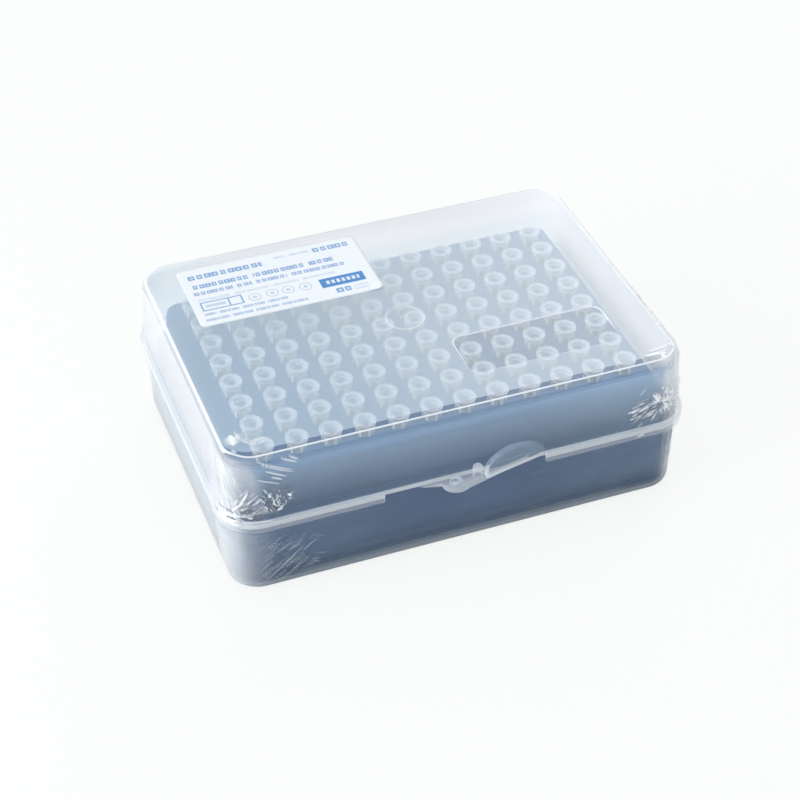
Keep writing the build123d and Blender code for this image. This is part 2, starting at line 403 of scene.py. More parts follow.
class LidZones:
    """The lid's zones, as masks, among them those of its painted highlights, shade, sheen and
    reflection.
    """

    # from the height of the top, the flange or the skirt
    FACE = (-0.8, -0.6)
    EDGE = (-2.4, -1.6)
    FLANGE = (0.1, 0.0)
    SKIRT = (0.15, -0.15)
    WALL_FOOT = -3.0
    WALL_HEAD = 2.0
    # from an outline or an end
    FROST = (0.2, -0.2)
    WINDOW = (0.15, -0.15)
    OFF_WALL = (0.88, 1.02)
    LIP = (0.0, -14.0)
    # the finger lip's cut end, where a painted highlight lies
    CUT_RIGHT = (0.9, 0.5)
    CUT_LEFT = (-0.6, -0.2)
    BROW = (0.15, 0.45)
    # the painted shade along the top's right and back edges
    BRINK_SHADE = (-2.2, -0.8)
    # the rim's painted highlight, thinner at the front
    RIM_HIGHLIGHT = (0.12, -0.08)
    HIGHLIGHT_HALF_WIDTH = 0.5
    FRONT_HIGHLIGHT_THINNER = 0.2
    # the painted highlights along the outlines, strongest on their far sides
    WINDOW_LINE = (0.34, 0.12)
    WINDOW_FAR_SIDE = (-7.0, 2.0)
    GATE_LINE = (0.6, 0.25)
    SCAR_LINE = (0.35, 0.1)
    SCAR_FAR_SIDE = (-0.2, 0.3)
    # along x, along y, and along the slant to the right back
    LEFT = (-52.0, -58.0)
    FRONT = (-35.0, -41.0)
    RIGHT_MARGIN = (49.0, 56.0)
    BACK_MARGIN = (27.0, 35.0)
    # the painted sheen on the walls' right part
    RIGHT_SHEEN = (5.0, 55.0)
    FRONT_WALL = (-38.0, -43.0)
    FRONT_WALL_ENDS = (58.0, 52.0)
    # the top's painted reflection, paler towards the right back
    SLANT = 0.4
    TO_MIDDLE = (-62.0, 2.0)
    TO_FAR_CORNER = (0.0, 50.0)

    def __init__(self, graph: Graph, lid: Lid) -> None:
        """Adds the masks to the graph of the lid's material."""
        self.graph = graph
        self.place = Place(graph)
        self.lid = lid
        rise, x, y, z = graph.rise, self.place.x, self.place.y, self.place.z
        out = self.place.outside_box((0, 0), lid.top_half, lid.top_corner)
        window = self.place.outside_box(lid.window_centre, lid.window_half, lid.window_corner)
        self.face = rise(z, *self.FACE, lid.top_height)
        self.edge = rise(z, *self.EDGE, lid.top_height)
        self.by_front = rise(y, *self.FRONT)
        self.near = graph.larger(rise(x, *self.LEFT), self.by_front)
        strip = self.near * lid.side_strip + self.by_front * (lid.front_strip - lid.side_strip)
        self.frosted = rise(out + strip, *self.FROST)
        self.window = rise(window, *self.WINDOW)
        # masks for the top's painted reflection towards the right back
        slant = x + y * self.SLANT
        self.far = rise(slant, *self.TO_MIDDLE)
        self.far_corner = rise(slant, *self.TO_FAR_CORNER)
        self.right_margin = rise(x, *self.RIGHT_MARGIN)
        self.back_margin = rise(y, *self.BACK_MARGIN)
        # the walls' painted light from above: lighter higher up
        self.height = rise(z, lid.flange_top + self.WALL_FOOT, lid.top_height + self.WALL_HEAD)
        # painted sheen, stronger towards the right
        self.right_sheen = rise(x, *self.RIGHT_SHEEN)
        self.front_wall = rise(y, *self.FRONT_WALL) * rise(abs(x), *self.FRONT_WALL_ENDS)
        off_wall = rise(out, *self.OFF_WALL)
        self.flange = rise(z, *self.FLANGE, lid.flange_top) * off_wall
        self.skirt = rise(z, *self.SKIRT, lid.skirt_top) * off_wall
        self.lip = off_wall * (1 - self.flange) * rise(x, *self.LIP, lid.lip_right)
        # the finger lip's cut end, painted bright as a highlight
        cut = rise(x, *self.CUT_RIGHT, lid.lip_cut) * off_wall
        self.lip_end_highlight = cut * rise(x, *self.CUT_LEFT, lid.lip_cut)
        self.brow = rise(out, *self.BROW, -lid.front_highlight) * self.by_front * self.edge
        # painted shade on the top's right and back edges
        self.brink_shade = rise(out, *self.BRINK_SHADE) * self.far * self.edge * (1 - self.near)
        # the painted highlight along the rim
        off_highlight = abs(out + lid.side_highlight + self.by_front * (lid.front_highlight - lid.side_highlight))
        off_highlight = off_highlight - (self.HIGHLIGHT_HALF_WIDTH - self.by_front * self.FRONT_HIGHLIGHT_THINNER)
        self.rim = rise(off_highlight, *self.RIM_HIGHLIGHT) * self.face
        # the painted highlights along the outlines
        self.marks = self.outlines(window) * self.frosted * self.face

    def outlines(self, window: Signal) -> Signal:
        """The raised outlines of the window, the gate mark and its scar, with a painted highlight
        along them.

        Args:
            window: The distance out of the window.

        Returns:
            The mask, strongest on the window's far side, where the painted highlight is brightest.
        """
        # how strong the painted highlight is on the window's near side, on the gate mark and on its
        # scar
        near_side, gate_line, scar_line = 0.35, 0.75, 0.8
        graph, place, lid = self.graph, self.place, self.lid
        far_side = graph.rise(place.y, *self.WINDOW_FAR_SIDE, lid.window_centre[1])
        line = graph.rise(abs(window), *self.WINDOW_LINE)
        line = line * (near_side + far_side * (1 - near_side))
        gate = abs(place.outside_circle(lid.gate_centre, lid.gate_radius))
        line = graph.larger(line, graph.rise(gate, *self.GATE_LINE) * gate_line)
        scar = abs(place.outside_circle(lid.gate_centre, lid.gate_scar))
        far_side = graph.rise(place.y, *self.SCAR_FAR_SIDE, lid.gate_centre[1])
        return graph.larger(line, graph.rise(scar, *self.SCAR_LINE) * far_side * scar_line)


@dataclass(frozen=True)
class LidPlastic:
    """Frosted see-through plastic of the lid, with its polished window and bright rim, the rim's
    brightness a painted highlight; painted light and shade also vary its top and walls.

    Attributes:
        veil: The plastic itself.
        blue: Its tint high up on the walls, where they are painted lighter and bluer as light falls
            from above.
        pale: Its tint in the flange and along the rim, where it carries the rim's painted
            highlight.
        reflection_tint: Its tint in most of the top, a painted reflection that grows towards the
            right back.
        margin: Its tint along the back of the top.
        shade: Its tint in the top's right and back edges, a painted shade.
        top: Veil of the frosted top at the left front.
        mid_top: Veil of the frosted top at its middle; from the left front to the right back the
            top's veil changes as a painted reflection.
        far_top: Veil of the frosted top at the right back.
        window: Veil where the top is polished.
        inside: Veil of the top's inner face.
        wall_high: Veil of a wall's surface under the top.
        wall_low: Veil of a wall's surface above the flange.
        wall_curve: How late the wall's veil thickens with height, painting the light that falls on
            the upper wall.
        right_sheen_share: The share by which a wall's veil is thicker at the right, a painted
            sheen.
        right_sheen_least: What is added to that.
        flange: Veil of the flange.
        skirt: Veil of the skirt that hangs from it.
        lip: Veil of the finger lip.
        brow: Veil between the rim's painted highlight and the edge, at the front.
        brink_shade: Veil of the top's right and back edges, which carries that painted shade.
        rim: Veil along the rim, a painted highlight.
        far_highlight: The share of that painted highlight that is left at the right and the back.
        line: Veil along the outlines of the window and the gate mark, a painted highlight.
        swirl: The size and the depth of the surface's faint swirls.
    """

    veil: Veil = Veil((0.62, 0.78, 0.90, 1.0), 0.42, 0.80)
    blue: Colour = (0.50, 0.68, 0.88, 1.0)
    pale: Colour = (0.82, 0.86, 0.90, 1.0)
    reflection_tint: Colour = (0.69, 0.80, 0.88, 1.0)
    margin: Colour = (0.93, 0.94, 0.97, 1.0)
    shade: Colour = (0.68, 0.71, 0.77, 1.0)
    top: float = 0.43
    mid_top: float = 0.50
    far_top: float = 0.42
    window: float = 0.31
    inside: float = 0.04
    wall_high: float = 0.40
    wall_low: float = 0.08
    wall_curve: float = 1.5
    right_sheen_share: float = 0.35
    right_sheen_least: float = 0.03
    flange: float = 0.66
    skirt: float = 0.16
    lip: float = 0.07
    brow: float = 0.21
    brink_shade: float = 0.58
    rim: float = 0.88
    far_highlight: float = 0.12
    line: float = 0.90
    swirl: Pair = (5.0, 0.02)

    def thickness(self, graph: Graph, zones: LidZones, rim: Signal) -> Signal:
        """The veil's thickness over the whole lid, with its painted light and shade.

        Args:
            graph: The material's graph.
            zones: The lid's zones.
            rim: The mask of the rim's painted highlight.

        Returns:
            The veil.
        """
        # the frosted top's veil changes from the left front to the right back as a painted
        # reflection
        frost = self.top + zones.far * (self.mid_top - self.top)
        frost = frost + zones.far_corner * (self.far_top - self.mid_top)
        frost = frost.toward(self.window, zones.window)
        # the walls' veil thickens upward, a painted light from above
        wall = self.wall_low + zones.height**self.wall_curve * (self.wall_high - self.wall_low)
        # painted sheen at the right
        wall = wall + zones.right_sheen * (wall * self.right_sheen_share + self.right_sheen_least)
        veil = wall.toward(self.inside, zones.edge)
        veil = veil.toward(frost, zones.face * zones.frosted)
        veil = graph.larger(veil, zones.lip * self.lip)
        veil = veil.toward(self.flange, zones.flange)
        veil = veil.toward(self.skirt, zones.skirt)
        # the lip's cut end, the rim and the outlines get painted highlights, and the far edges
        # painted shade
        for mask, least in (
            (zones.lip_end_highlight, self.flange),
            (zones.brow, self.brow),
            (rim, self.rim),
            (zones.marks, self.line),
            (zones.brink_shade, self.brink_shade),
        ):
            veil = graph.larger(veil, mask * least)
        return veil

    def tint(self, graph: Graph, zones: LidZones, rim: Signal) -> Signal:
        """The plastic's colour over the whole lid, with its painted light and shade.

        Args:
            graph: The material's graph.
            zones: The lid's zones.
            rim: The mask of the rim's painted highlight.

        Returns:
            The colour.
        """
        below = 1 - zones.face
        far = zones.far * zones.face
        # the painted highlights of the rim, the lip's end and the outlines, together with the
        # flange, take the pale tint
        light = graph.larger(rim, zones.flange)
        light = graph.larger(light, graph.larger(zones.lip_end_highlight, zones.marks))
        tint = graph.blend(below * (1 - zones.front_wall), self.veil.colour, self.pale)
        # painted light high on the front wall, a painted reflection that pales the top towards the
        # right back, and painted shade on its far edges
        for mask, colour in (
            (zones.height * below * zones.front_wall, self.blue),
            (far, self.reflection_tint),
            (far * zones.right_margin, self.pale),
            (far * zones.back_margin, self.margin),
            (zones.brink_shade, self.shade),
            (light, self.pale),
        ):
            tint = graph.blend(mask, tint, colour)
        return tint

    def material(self, lid: Lid) -> bpy.types.Material:
        """Makes the material from the lid's sizes."""
        graph = Graph("lid_plastic")
        zones = LidZones(graph, lid)
        # the rim's painted highlight is strongest at the left and the front
        rim = zones.rim * (self.far_highlight + zones.near * (1 - self.far_highlight))
        veil = self.thickness(graph, zones, rim)
        tint = self.tint(graph, zones, rim)
        size, depth = self.swirl
        normal = graph.bump(graph.noise(zones.place.vector, size), depth)
        return graph.finish(self.veil.shader(graph, veil, tint, normal))


@dataclass(frozen=True)
class BasePlastic:
    """Clearer see-through plastic of the base, with a painted shadow round its foot and painted
    shade low on its walls.

    Attributes:
        veil: The plastic itself.
        edge: Its tint round the foot, a painted shadow of the floor under the box.
        deep: Its tint low on the walls, a painted shade.
        pale: Its tint in the clasp.
        wall: Veil of one surface of a wall.
        wall_ends: The share by which it is thicker towards a wall's ends.
        end: Veil of one surface of the right wall, seen along its front corner.
        end_tint: How far the tint of that wall goes over to the foot's painted shadow.
        foot: Veil of the rounded edge by the foot, which carries the painted shadow.
        shadow_band_ends: The share of it that is left at the ends of the band above that edge.
        low_wall: Veil of a wall's surface just above it, which carries the painted shade.
        clasp: Veil of the clasp.
        grain: The size and the depth of the surface's grain.
    """

    veil: Veil = Veil((0.42, 0.57, 0.72, 1.0), 0.38, 0.92, gloss=0.15)
    edge: Colour = (0.195, 0.255, 0.33, 1.0)
    deep: Colour = (0.105, 0.19, 0.33, 1.0)
    pale: Colour = (0.86, 0.90, 0.93, 1.0)
    wall: float = 0.03
    wall_ends: float = 1.5
    end: float = 0.56
    end_tint: float = 0.8
    foot: float = 0.70
    shadow_band_ends: float = 0.3
    low_wall: float = 0.34
    clasp: float = 0.30
    grain: Pair = (0.6, 0.004)

    # from the height of the foot's rounding: the band and the edge of painted shadow, and the
    # painted shade low on the walls
    SHADOW_BAND = (2.3, 1.8)
    EDGE = (0.9, 0.3)
    LOW_SHADE = (6.0, 2.4)
    # from the outline, from the right end and from the middle
    OUTSIDE = (0.2, 0.6)
    RIGHT_END = (-4.5, -2.5)
    SHADOW_BAND_ENDS = (50.0, 42.0)
    WALL_ENDS = (5.0, 45.0)

    def material(self, base: Base) -> bpy.types.Material:
        """Makes the material from the base's sizes."""
        graph = Graph("base_plastic")
        place = Place(graph)
        rise = graph.rise
        # the foot's painted shadow, weaker towards the ends
        band = rise(place.z, *self.SHADOW_BAND, base.edge_round)
        middle = rise(abs(place.x), *self.SHADOW_BAND_ENDS)
        band = band * (self.shadow_band_ends + middle * (1 - self.shadow_band_ends))
        low = graph.larger(band, rise(place.z, *self.EDGE, base.edge_round))
        outline = place.outside_box((0, 0), base.top_half, base.corner)
        outside = rise(outline, *self.OUTSIDE)
        end = rise(place.x, *self.RIGHT_END, base.top_half[0])
        # painted shade low on the walls
        deep = rise(place.z, *self.LOW_SHADE, base.edge_round)
        veil = self.wall + rise(abs(place.x), *self.WALL_ENDS) * (self.wall * self.wall_ends)
        for mask, there in (
            (deep, self.low_wall),
            (end, self.end),
            (low, self.foot),
            (outside, self.clasp),
        ):
            veil = veil.toward(there, mask)
        # painted shade low on the walls, then the foot's painted shadow, which also darkens the
        # right end
        colour = graph.blend(deep, self.veil.colour, self.deep)
        colour = graph.blend(end * self.end_tint, colour, self.edge)
        colour = graph.blend(outside, colour, self.pale)
        colour = graph.blend(low, colour, self.edge)
        size, depth = self.grain
        normal = graph.bump(graph.noise(place.vector, size, FINE), depth)
        return graph.finish(self.veil.shader(graph, veil, colour, normal))


@dataclass(frozen=True)
class RackPlastic:
    """Opaque blue-grey moulded plastic of the rack, its deck painted lighter.

    Attributes:
        colour: Its colour.
        pale: Its colour where the moulding is a little lighter.
        deck: The colour of its deck, lighter and bluer than the walls: painted light on the top
            face.
        clouds: The size of the lighter patches.
        grain: The size and the depth of the surface's grain.
        roughness: Its least and its greatest roughness.
    """

    colour: Colour = (0.024, 0.074, 0.185, 1.0)
    pale: Colour = (0.032, 0.092, 0.215, 1.0)
    deck: Colour = (0.028, 0.108, 0.255, 1.0)
    clouds: float = 14.0
    grain: Pair = (0.4, 0.006)
    roughness: Pair = (0.40, 0.55)

    # of the noise
    CLOUD = (0.35, 0.75)
    # from the height of the deck, for its painted light
    LIT_DECK = (-0.4, -0.1)

    def material(self, rack: Rack) -> bpy.types.Material:
        """Makes the material from the rack's height."""
        graph = Graph("rack_plastic")
        place = Place(graph)
        cloud = graph.rise(graph.noise(place.vector, self.clouds), *self.CLOUD)
        size, depth = self.grain
        grain = graph.noise(place.vector, size, FINE)
        low, high = self.roughness
        colour = graph.blend(cloud, self.colour, self.pale)
        # the deck is painted lighter than the walls, as light on the top face
        deck = graph.rise(place.z, *self.LIT_DECK, rack.top)
        body = graph.principled(
            {
                "Base Color": graph.blend(deck, colour, self.deck),
                "Roughness": low + grain * (high - low),
                "Normal": graph.bump(grain, depth),
            }
        )
        return graph.finish(body)


@dataclass(frozen=True)
class TipPlastic:
    """Milky see-through plastic of the tips.

    Attributes:
        veil: The plastic itself.
        face: Veil of the rim's flat face.
        edge: Veil of the face's inner and outer edges, a painted highlight.
        mouth: Veil of the sloping mouth inside it.
        bore: Veil of the bore under the mouth.
        rim: Veil of the rim's outside.
        rib: Veil of a rib.
        collar: Veil of the collar between the ribs, and of the stem.
        uneven: How unevenly the veil is spread.
        cloud: The size and the depth of the surface's unevenness.
    """

    veil: Veil = Veil((0.88, 0.92, 0.94, 1.0), 0.34, 0.80)
    face: float = 0.31
    edge: float = 0.72
    mouth: float = 0.22
    bore: float = 0.12
    rim: float = 0.34
    rib: float = 0.56
    collar: float = 0.15
    uneven: float = 0.05
    cloud: Pair = (1.2, 0.01)

    # from the height of the rim's face or foot
    FACE = (-0.12, -0.04)
    RIM_FOOT = (0.1, 0.0)
    # from the radius of the collar, the face, its edges or the mouth
    RIB = (0.05, 0.15)
    FACE_INSIDE = (0.0, -0.1)
    OUTER_EDGE = (-0.25, -0.1)
    INNER_EDGE = (0.22, 0.08)
    BORE = (0.0, -0.06)

    def material(self, tips: Tips) -> bpy.types.Material:
        """Makes the material from the tips' sizes."""
        graph = Graph("tip_plastic")
        place = Place(graph)
        rise = graph.rise
        half = tips.pitch / 2
        # the tips stand half a pitch away from both middle lines
        across = half - graph.ping_pong(place.x, half)
        along = half - graph.ping_pong(place.y, half)
        reach = (across**2 + along**2) ** 0.5
        under_rim = rise(place.z, *self.RIM_FOOT, tips.top - tips.rim_foot)
        veil = self.rim + under_rim * (self.collar - self.rim)
        veil = veil.toward(self.rib, under_rim * rise(reach, *self.RIB, tips.collar))
        mouth = rise(reach, *self.FACE_INSIDE, tips.face_inside) * (1 - under_rim)
        veil = veil.toward(self.mouth, mouth)
        veil = veil.toward(self.bore, rise(reach, *self.BORE, tips.mouth))
        # the face's inner and outer edges are painted brighter, as highlights
        edge = graph.larger(
            rise(reach, *self.OUTER_EDGE, tips.face_outside),
            rise(reach, *self.INNER_EDGE, tips.face_inside),
        )
        face = self.face + edge * (self.edge - self.face)
        veil = veil.toward(face, rise(place.z, *self.FACE, tips.top))
        size, depth = self.cloud
        cloud = graph.noise(place.vector, size)
        veil = veil + (cloud - 0.5) * self.uneven
        normal = graph.bump(cloud, depth)
        return graph.finish(self.veil.shader(graph, veil, self.veil.colour, normal))


@dataclass(frozen=True)
class PrintRow:
    """A row of plain blocks with paler middles, in the place of a line of print.

    Attributes:
        left: Where it starts, from the label's middle.
        right: Where it ends.
        centre: Its height on the label, from the label's middle.
        height: How tall its blocks are.
        pitch: How far apart its blocks are.
        ink: How dark its blocks are.
        gaps: The wider spaces in it, as pairs of start and end.
    """

    left: float
    right: float
    centre: float
    height: float
    pitch: float
    ink: float
    gaps: tuple[Pair, ...] = ()

    # shares of the pitch
    GAP = 0.10
    GAP_SWING = 0.07
    MIDDLE = (0.26, 0.36)
    # shares of the gap, of the height and of the ink
    GAP_EDGE = (0.6, 1.4)
    MIDDLE_HALF = 0.24
    MIDDLE_PALER = 0.6
    # how fast the gaps' widths vary, in radians to a pitch
    SWING_RATE = 1.9

    def mask(self, paper: LabelPaper, graph: Graph, x: Signal, y: Signal) -> Signal:
        """The row's ink.

        Args:
            paper: The label's finish.
            graph: The material's graph.
            x: The place along the label.
            y: The place across the label.

        Returns:
            The ink, from 0 to the row's own strength.
        """
        half = self.height / 2
        ink = paper.band(graph, x, self.left, self.right)
        ink = ink * paper.band(graph, y, self.centre - half, self.centre + half)
        for low, high in self.gaps:
            ink = ink * (1 - paper.band(graph, x, low, high))
        beat = graph.ping_pong(x - self.left, self.pitch / 2)
        swing = graph.maths("SINE", x * (self.SWING_RATE / self.pitch))
        gap = self.pitch * (self.GAP + self.GAP_SWING * swing)
        half = self.height * self.MIDDLE_HALF
        middle = paper.band(graph, y, self.centre - half, self.centre + half)
        middle = middle * graph.rise(beat, *(self.pitch * share for share in self.MIDDLE))
        block = graph.rise(beat, *(gap * share for share in self.GAP_EDGE))
        return ink * block * (1 - middle * self.MIDDLE_PALER) * self.ink


@dataclass(frozen=True)
class LabelPaper:
    """White coated paper printed in one blue, with plain blocks, rings and bars.

    Attributes:
        paper: The paper's colour.
        ink: The ink's colour.
        rows: The rows of blocks.
        rings: The middles of the small rings.
        ring_radius: The rings' radius.
        ring_ink: How dark they are.
        bar: The solid bar's left, right, low and high edges.
        bar_marks: The edges of the white blocks in it, in the same order.
        mark_pitch: How far apart those are.
        frame_box: The outlined box's edges.
        frame_split: Where the outlined box is divided.
        frame_line: How thick its lines are.
        frame_ink: How dark they are.
        inset: The edges of the pale bar in it.
        inset_ink: How dark that is.
        lets_in: How much of the light goes through the thin paper.
        fibre: The size and the depth of the paper's fibres.
        roughness: Its least and its greatest roughness.
    """

    paper: Colour = (0.80, 0.85, 0.89, 1.0)
    ink: Colour = (0.0, 0.19, 0.54, 1.0)
    rows: tuple[PrintRow, ...] = (
        PrintRow(-23.1, -2.2, 9.0, 1.9, 2.2, 0.80, ((-14.6, -13.9),)),
        PrintRow(1.3, 11.6, 10.3, 1.0, 1.15, 0.32, ((5.2, 6.0),)),
        PrintRow(12.6, 23.1, 10.1, 1.9, 2.1, 0.75),
        PrintRow(-23.0, 16.7, 4.6, 1.7, 1.75, 0.80, ((-7.6, -6.0), (8.2, 9.8))),
        PrintRow(-23.4, 19.2, 1.5, 1.4, 1.7, 0.72, ((-12.6, -11.4), (-7.2, -6.0), (2.6, 4.0))),
        PrintRow(-23.1, 15.2, -1.6, 0.9, 1.1, 0.3, ((-14.2, -13.2), (-3.6, -2.6), (5.0, 6.0))),
        PrintRow(-23.3, -0.2, -8.2, 1, 1.05, 0.62, ((-19.8, -19.2), (-13.6, -13.0), (-6.4, -5.8))),
        PrintRow(-23.6, 4.7, -10.7, 1, 1.05, 0.62, ((-17.0, -16.4), (-10.6, -10.0), (-3.4, -2.8))),
        PrintRow(12.8, 17.2, -10.0, 2.0, 2.3, 0.80),
        PrintRow(18.0, 22.2, -9.5, 0.7, 0.80, 0.35),
        PrintRow(18.0, 22.2, -10.9, 0.7, 0.80, 0.35),
    )
    rings: tuple[Pair, ...] = ((-8.4, -5.0), (-3.5, -4.8), (0.9, -4.9), (5.7, -5.2))
    ring_radius: float = 1.6
    ring_ink: float = 0.38
    bar: tuple[float, float, float, float] = (9.8, 22.2, -7.7, -3.6)
    bar_marks: tuple[float, float, float, float] = (11.4, 20.8, -6.4, -4.8)
    mark_pitch: float = 1.44
    frame_box: tuple[float, float, float, float] = (-23.1, -11.6, -6.6, -2.6)
    frame_split: float = -15.4
    frame_line: float = 0.45
    frame_ink: float = 0.75
    inset: tuple[float, float, float, float] = (-21.9, -16.4, -5.2, -4.0)
    inset_ink: float = 0.35
    lets_in: float = 0.7
    fibre: Pair = (0.5, 0.01)
    roughness: Pair = (0.46, 0.56)

    # how soft the print's edges are, to each side
    SOFT = 0.12
    RING_HALF_LINE = 0.16
    RING_DOT = (0.75, 0.45)
    MARK = (0.18, 0.34)
    MARK_PALER = 0.85
    FACE = (0.03, 0.07)

    def band(self, graph: Graph, value: Signal, low: float, high: float) -> Signal:
        """1 between low and high with soft edges, else 0."""
        soft = (-self.SOFT, self.SOFT)
        return graph.rise(value, *soft, low) * graph.rise(value, *soft[::-1], high)

    def material(self, label: Label) -> bpy.types.Material:
        """Makes the material from the label's place."""
        graph = Graph("label_paper")
        place = Place(graph)
        x = place.x - label.centre[0]
        y = place.y - label.centre[1]

        def patch(left: float, right: float, low: float, high: float) -> Signal:
            """A rectangle with those edges."""
            return self.band(graph, x, left, right) * self.band(graph, y, low, high)

        inks = [row.mask(self, graph, x, y) for row in self.rows]
        for centre in self.rings:
            reach = ((x - centre[0]) ** 2 + (y - centre[1]) ** 2) ** 0.5
            ring = abs(reach - self.ring_radius)
            ring = graph.rise(ring, self.SOFT, -self.SOFT, self.RING_HALF_LINE)
            inks.append((ring + graph.rise(reach, *self.RING_DOT)) * self.ring_ink)
        line = self.frame_line
        left, right, low, high = self.frame_box
        box = patch(left, right, low, high)
        inner = patch(left + line, right - line, low + line, high - line)
        split = self.band(graph, x, self.frame_split - line / 2, self.frame_split + line / 2)
        inks.append(graph.larger(box - inner, box * split) * self.frame_ink)
        inks.append(patch(*self.inset) * self.inset_ink)
        inks.append(patch(*self.bar))
        ink = inks[0]
        for more in inks[1:]:
            ink = graph.larger(ink, more)
        beat = graph.ping_pong(x - self.bar[0], self.mark_pitch / 2)
        marks = patch(*self.bar_marks) * graph.rise(beat, *self.MARK)
        ink = ink * (1 - marks * self.MARK_PALER)
        ink = ink * graph.rise(place.z, *self.FACE, label.foot)
        size, depth = self.fibre
        fibre = graph.noise(place.vector, size, FINE)
        low, high = self.roughness
        body = graph.principled(
            {
                "Base Color": graph.blend(ink, self.paper, self.ink),
                "Roughness": low + fibre * (high - low),
                "Normal": graph.bump(fibre, depth),
            }
        )
        let_in = graph.ray("Is Shadow Ray") * self.lets_in
        return graph.finish(graph.mix(let_in, body, graph.clear()))


@dataclass(frozen=True)
class FilmPlastic:
    """Clear shiny shrink film, painted white or dark along its creases as highlight and shade.

    Attributes:
        white: The colour of a crease that catches the light.
        dark: The colour of a crease that doesn't.
        haze: How much a flat stretch of film hides, at least and at most.
        left_haze: How much it hides at the box's left end, where it is gathered most.
        right_haze: How much it hides at the right end.
        low_right: The share of that which is missing under the flange.
        corner_glare: How much more it hides at the left front corner, a white haze that is a
            painted glare.
        most: The most that it hides.
        shine: How much a flat stretch of film mirrors.
        glint: How much more a crease mirrors.
        slant_shine: How much the film mirrors where it is seen edge-on.
        loose_shine: The share of that where the film doesn't hug the box.
        roughness: The roughness of its gathered body.
        gloss: The roughness of a crease's mirror.
        flat_matt: How much rougher a flat stretch is.
        top_matt: How much rougher again the flat top is.
        ripple: The size and the depth of the film's ripples.
        clouds: The size of the patches in its haze.
        flat_top: The share of the ripples that the top doesn't have.
    """

    white: Colour = (0.91, 0.96, 1.0, 1.0)
    dark: Colour = (0.085, 0.12, 0.175, 1.0)
    haze: Pair = (0.008, 0.018)
    left_haze: float = 0.24
    right_haze: float = 0.16
    low_right: float = 0.6
    corner_glare: float = 0.34
    most: float = 0.95
    shine: float = 0.010
    glint: float = 0.16
    slant_shine: float = 0.8
    loose_shine: float = 0.1
    roughness: float = 0.25
    gloss: float = 0.09
    flat_matt: float = 0.08
    top_matt: float = 0.12
    ripple: Pair = (5.0, 0.12)
    clouds: float = 9.0
    flat_top: float = 0.75

    # what the clouds take the haze between
    CLOUDED = (0.75, 1.25)
    # how sharply the mirror rises towards the edge
    SHARPNESS = 4
    # of the creases' tone, their painted highlight and shade
    FLAT = (0.12, 0.02)
    WHITE = (-0.15, 0.05)
    # along x and y
    LEFT = (-57.0, -62.0)
    RIGHT = (54.5, 62.5)
    # the left front corner's painted glare
    CORNER_HIGH = (-57.5, -61.2)
    CORNER_LOW = (-49.0, -61.0)
    CORNER_FRONT = (-26.0, -34.0)
    # up from the floor
    TOP = (42.4, 42.9)
    WALLS = (42.2, 39.0)
    UNDER_FLANGE = (23.0, 20.5)
    TENT_FOOT = (13.0, 16.0)
    TENT_HEAD = (22.0, 20.5)
    OFF_FLOOR = (1.2, 3.0)

    def gathered(self, graph: Graph, place: Place, cloud: Signal) -> Signal:
        """How much more the film hides where it is gathered, and at the left front corner as a
        painted glare.

        Args:
            graph: The material's graph.
            place: The place on the skin.
            cloud: The patches in the haze.

        Returns:
            The added cover.
        """
        rise = graph.rise
        under = rise(place.z, *self.UNDER_FLANGE)
        right = rise(place.x, *self.RIGHT) * (1 - under * self.low_right)
        haze = rise(place.x, *self.LEFT) * self.left_haze + right * self.right_haze
        # painted glare at the left front corner
        corner = rise(place.x, *self.CORNER_HIGH) * (1 - under)
        corner = corner + rise(place.x, *self.CORNER_LOW) * under
        haze = haze + corner * rise(place.y, *self.CORNER_FRONT) * self.corner_glare
        least, most = self.CLOUDED
        return haze * rise(place.z, *self.WALLS) * (least + cloud * (most - least))

    def material(self, name: str) -> bpy.types.Material:
        """Makes the material for a skin that holds its creases' painted highlight and shade in an
        attribute.
        """
        graph = Graph(name)
        place = Place(graph)
        rise = graph.rise
        attribute = {"attribute_type": "GEOMETRY", "attribute_name": Skin.CREASE}
        crease = graph.node("ShaderNodeAttribute", attribute, output="Fac")
        size, depth = self.ripple
        ripple = graph.noise(place.vector, size, FINE)
        cloud = graph.noise(place.vector, self.clouds)
        on_top = rise(place.z, *self.TOP)
        normal = graph.bump(ripple * (1 - on_top * self.flat_top), depth)
        flat = rise(abs(crease), *self.FLAT)
        # creases are painted white as highlights and dark as shade
        body = graph.principled(
            {
                "Base Color": graph.blend(rise(crease, *self.WHITE), self.dark, self.white),
                "Roughness": self.roughness,
                "Normal": normal,
            }
        )
        shine = graph.node(
            "ShaderNodeBsdfAnisotropic",
            inputs={
                "Color": (1.0, 1.0, 1.0, 1.0),
                "Roughness": self.gloss + flat * (self.flat_matt + on_top * self.top_matt),
                "Normal": normal,
            },
        )
        least, most = self.haze
        haze = least + cloud * (most - least) + self.gathered(graph, place, cloud)
        cover = graph.smaller(abs(crease) + haze, self.most)
        tented = rise(place.z, *self.TENT_FOOT) * rise(place.z, *self.TENT_HEAD)
        hugging = rise(place.z, *self.OFF_FLOOR) * (1 - tented)
        tight = self.loose_shine + hugging * (1 - self.loose_shine)
        slanted = graph.facing() ** self.SHARPNESS * tight
        mirror = self.shine + abs(crease) * self.glint + slanted * self.slant_shine
        return graph.finish(graph.mix(mirror, graph.mix(cover, graph.clear(), body), shine))


# --- pieces ----------------------------------------------------------------------------------


def dress(node: str, material: bpy.types.Material) -> None:
    """Puts a material in every slot of a frame node."""
    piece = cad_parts[node]
    if not piece.material_slots:
        piece.data.materials.append(material)
    for place in piece.material_slots:
        place.link = "OBJECT"
        place.material = material
    log.info("%s: dressed in %s", node, material.name)


